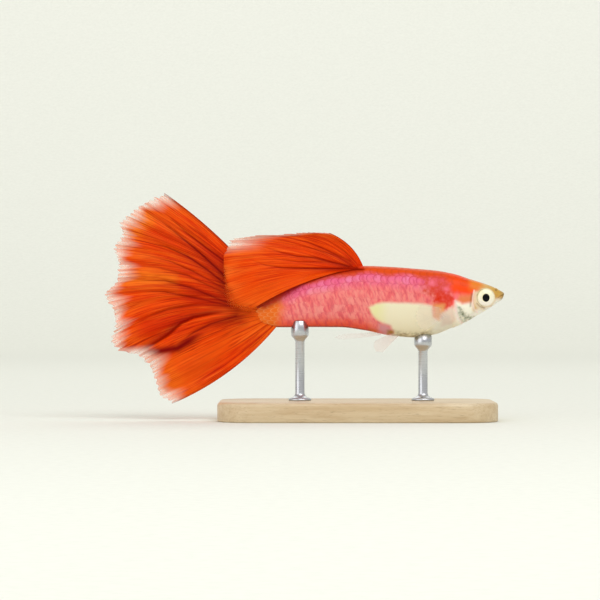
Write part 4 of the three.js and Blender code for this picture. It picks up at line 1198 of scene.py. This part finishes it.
SKIN = skin_material()
hand_in(make_skin(SKIN), "skin",
        "head", "lower_jaw", "trunk", "tail_stalk", "gill_cover_left", "gill_cover_right")
hand_in(make_scales(SKIN), "skin")
FIN_ORANGE = fin_material("tail fin membrane", (228, 66, 0), (240, 106, 26), (232, 92, 14))
DORSAL_ORANGE = fin_material("dorsal fin membrane", (230, 68, 0), (242, 104, 28), (226, 52, 0))
hand_in(make_tail_fin(FIN_ORANGE), "fin", "tail_fin")
hand_in(make_dorsal_fin(DORSAL_ORANGE), "fin", "dorsal_fin")
CLEAR_FIN = clear_fin_material("clear fin membrane", (240, 226, 214), 0.92)
BELLY_FIN = clear_fin_material("belly fin membrane", (244, 224, 216), 0.93)
hand_in(make_small_fan("gonopodium_rays", BELLY_FIN, **GONOPODIUM), "clear_fin", "gonopodium")
IRIS, PUPIL = iris_material(), pupil_material()
for word, side in (("left", 1), ("right", -1)):
    hand_in(make_iris(side, word, IRIS), "eye", f"eye_{word}")
    hand_in(make_pupil(side, word, PUPIL), "eye")
    for fin, material, shape in (("pectoral", CLEAR_FIN, PECTORAL_FIN), ("pelvic", BELLY_FIN, PELVIC_FIN)):
        node = f"{fin}_fin_{word}"
        hand_in(make_small_fan(f"{node}_rays", material, **mirrored(shape, side)), "clear_fin", node)

hand_in(make_base(maple_material()), "base", "stand_base")
STEEL = steel_material()
for place in ("front", "rear"):
    rod_name = f"stand_rod_{place}"
    hand_in(make_rod(f"{rod_name}_steel", rod_name, STEEL), "rod", rod_name)


# Floor, light and camera

def make_sweep():
    """A pale floor that curves up into a backdrop."""
    curve_start, curve_radius, top = 0.6, 0.5, 1.6
    profile = [(-1.6, 0.0), (curve_start, 0.0)]
    for k in range(1, 17):
        angle = math.pi / 2 * k / 16
        profile.append((curve_start + curve_radius * math.sin(angle), curve_radius * (1 - math.cos(angle))))
    profile.append((curve_start + curve_radius, top))
    points = [(x, y, FLOOR + z) for x in (-2.0, 2.0) for y, z in profile]
    count = len(profile)
    faces = [(k, k + 1, count + k + 1, count + k) for k in range(count - 1)]
    mesh = bpy.data.meshes.new("sweep")
    mesh.from_pydata(points, [], faces)
    mesh.polygons.foreach_set("use_smooth", [True] * len(faces))
    r = Recipe("pale paper sweep", roughness=0.85, specular_ior_level=0.1)
    paper = r.noise(900, 3)
    r.begin(r.span(paper, 0.3, 0.7), (233, 234, 224), (238, 239, 229))
    mesh.materials.append(r.finish())
    sweep = bpy.data.objects.new("sweep", mesh)
    bpy.context.collection.objects.link(sweep)


def soft_light(name, place, target, size, power):
    data = bpy.data.lights.new(name, "AREA")
    data.shape = "RECTANGLE"
    data.size, data.size_y = size
    data.energy = power
    light = bpy.data.objects.new(name, data)
    light.location = place
    light.rotation_euler = (Vector(target) - Vector(place)).to_track_quat("-Z", "Y").to_euler()
    bpy.context.collection.objects.link(light)


def make_world():
    world = bpy.data.worlds.new("studio")
    world.use_nodes = True
    background = world.node_tree.nodes["Background"]
    background.inputs["Color"].default_value = (1.0, 1.0, 1.0, 1.0)
    background.inputs["Strength"].default_value = 0.62
    bpy.context.scene.world = world


# The camera sees the fish as the photograph does, a pixel being so many mm
IMAGE_WIDTH = 600
MM_PER_PIXEL = 0.13
IMAGE_CENTRE_X = -0.39
LENS, SENSOR = 200.0, 36.0


def make_camera():
    data = bpy.data.cameras.new("camera")
    data.lens = LENS
    data.sensor_width = SENSOR
    data.clip_start = 0.01
    camera = bpy.data.objects.new("camera", data)
    distance = IMAGE_WIDTH * MM_PER_PIXEL * LENS / SENSOR
    camera.location = (IMAGE_CENTRE_X * MM, -distance * MM, MIDDLE_LINE * MM)
    camera.rotation_euler = (math.pi / 2, 0, 0)
    bpy.context.collection.objects.link(camera)
    bpy.context.scene.camera = camera


make_sweep()
make_world()
fish_middle = (0.0, 0.0, MIDDLE_LINE * MM)
soft_light("key", (0.12, -0.3, 0.32), fish_middle, (0.35, 0.25), 0.78)
soft_light("fill", (-0.3, -0.22, 0.12), fish_middle, (0.3, 0.3), 0.35)
soft_light("rim", (0.0, 0.28, 0.34), fish_middle, (0.4, 0.2), 0.3)
soft_light("backdrop", (0.0, 0.8, 0.6), (0.0, 0.95, 0.0), (1.4, 0.5), 2.2)
make_camera()
bpy.context.scene.view_settings.view_transform = "Standard"
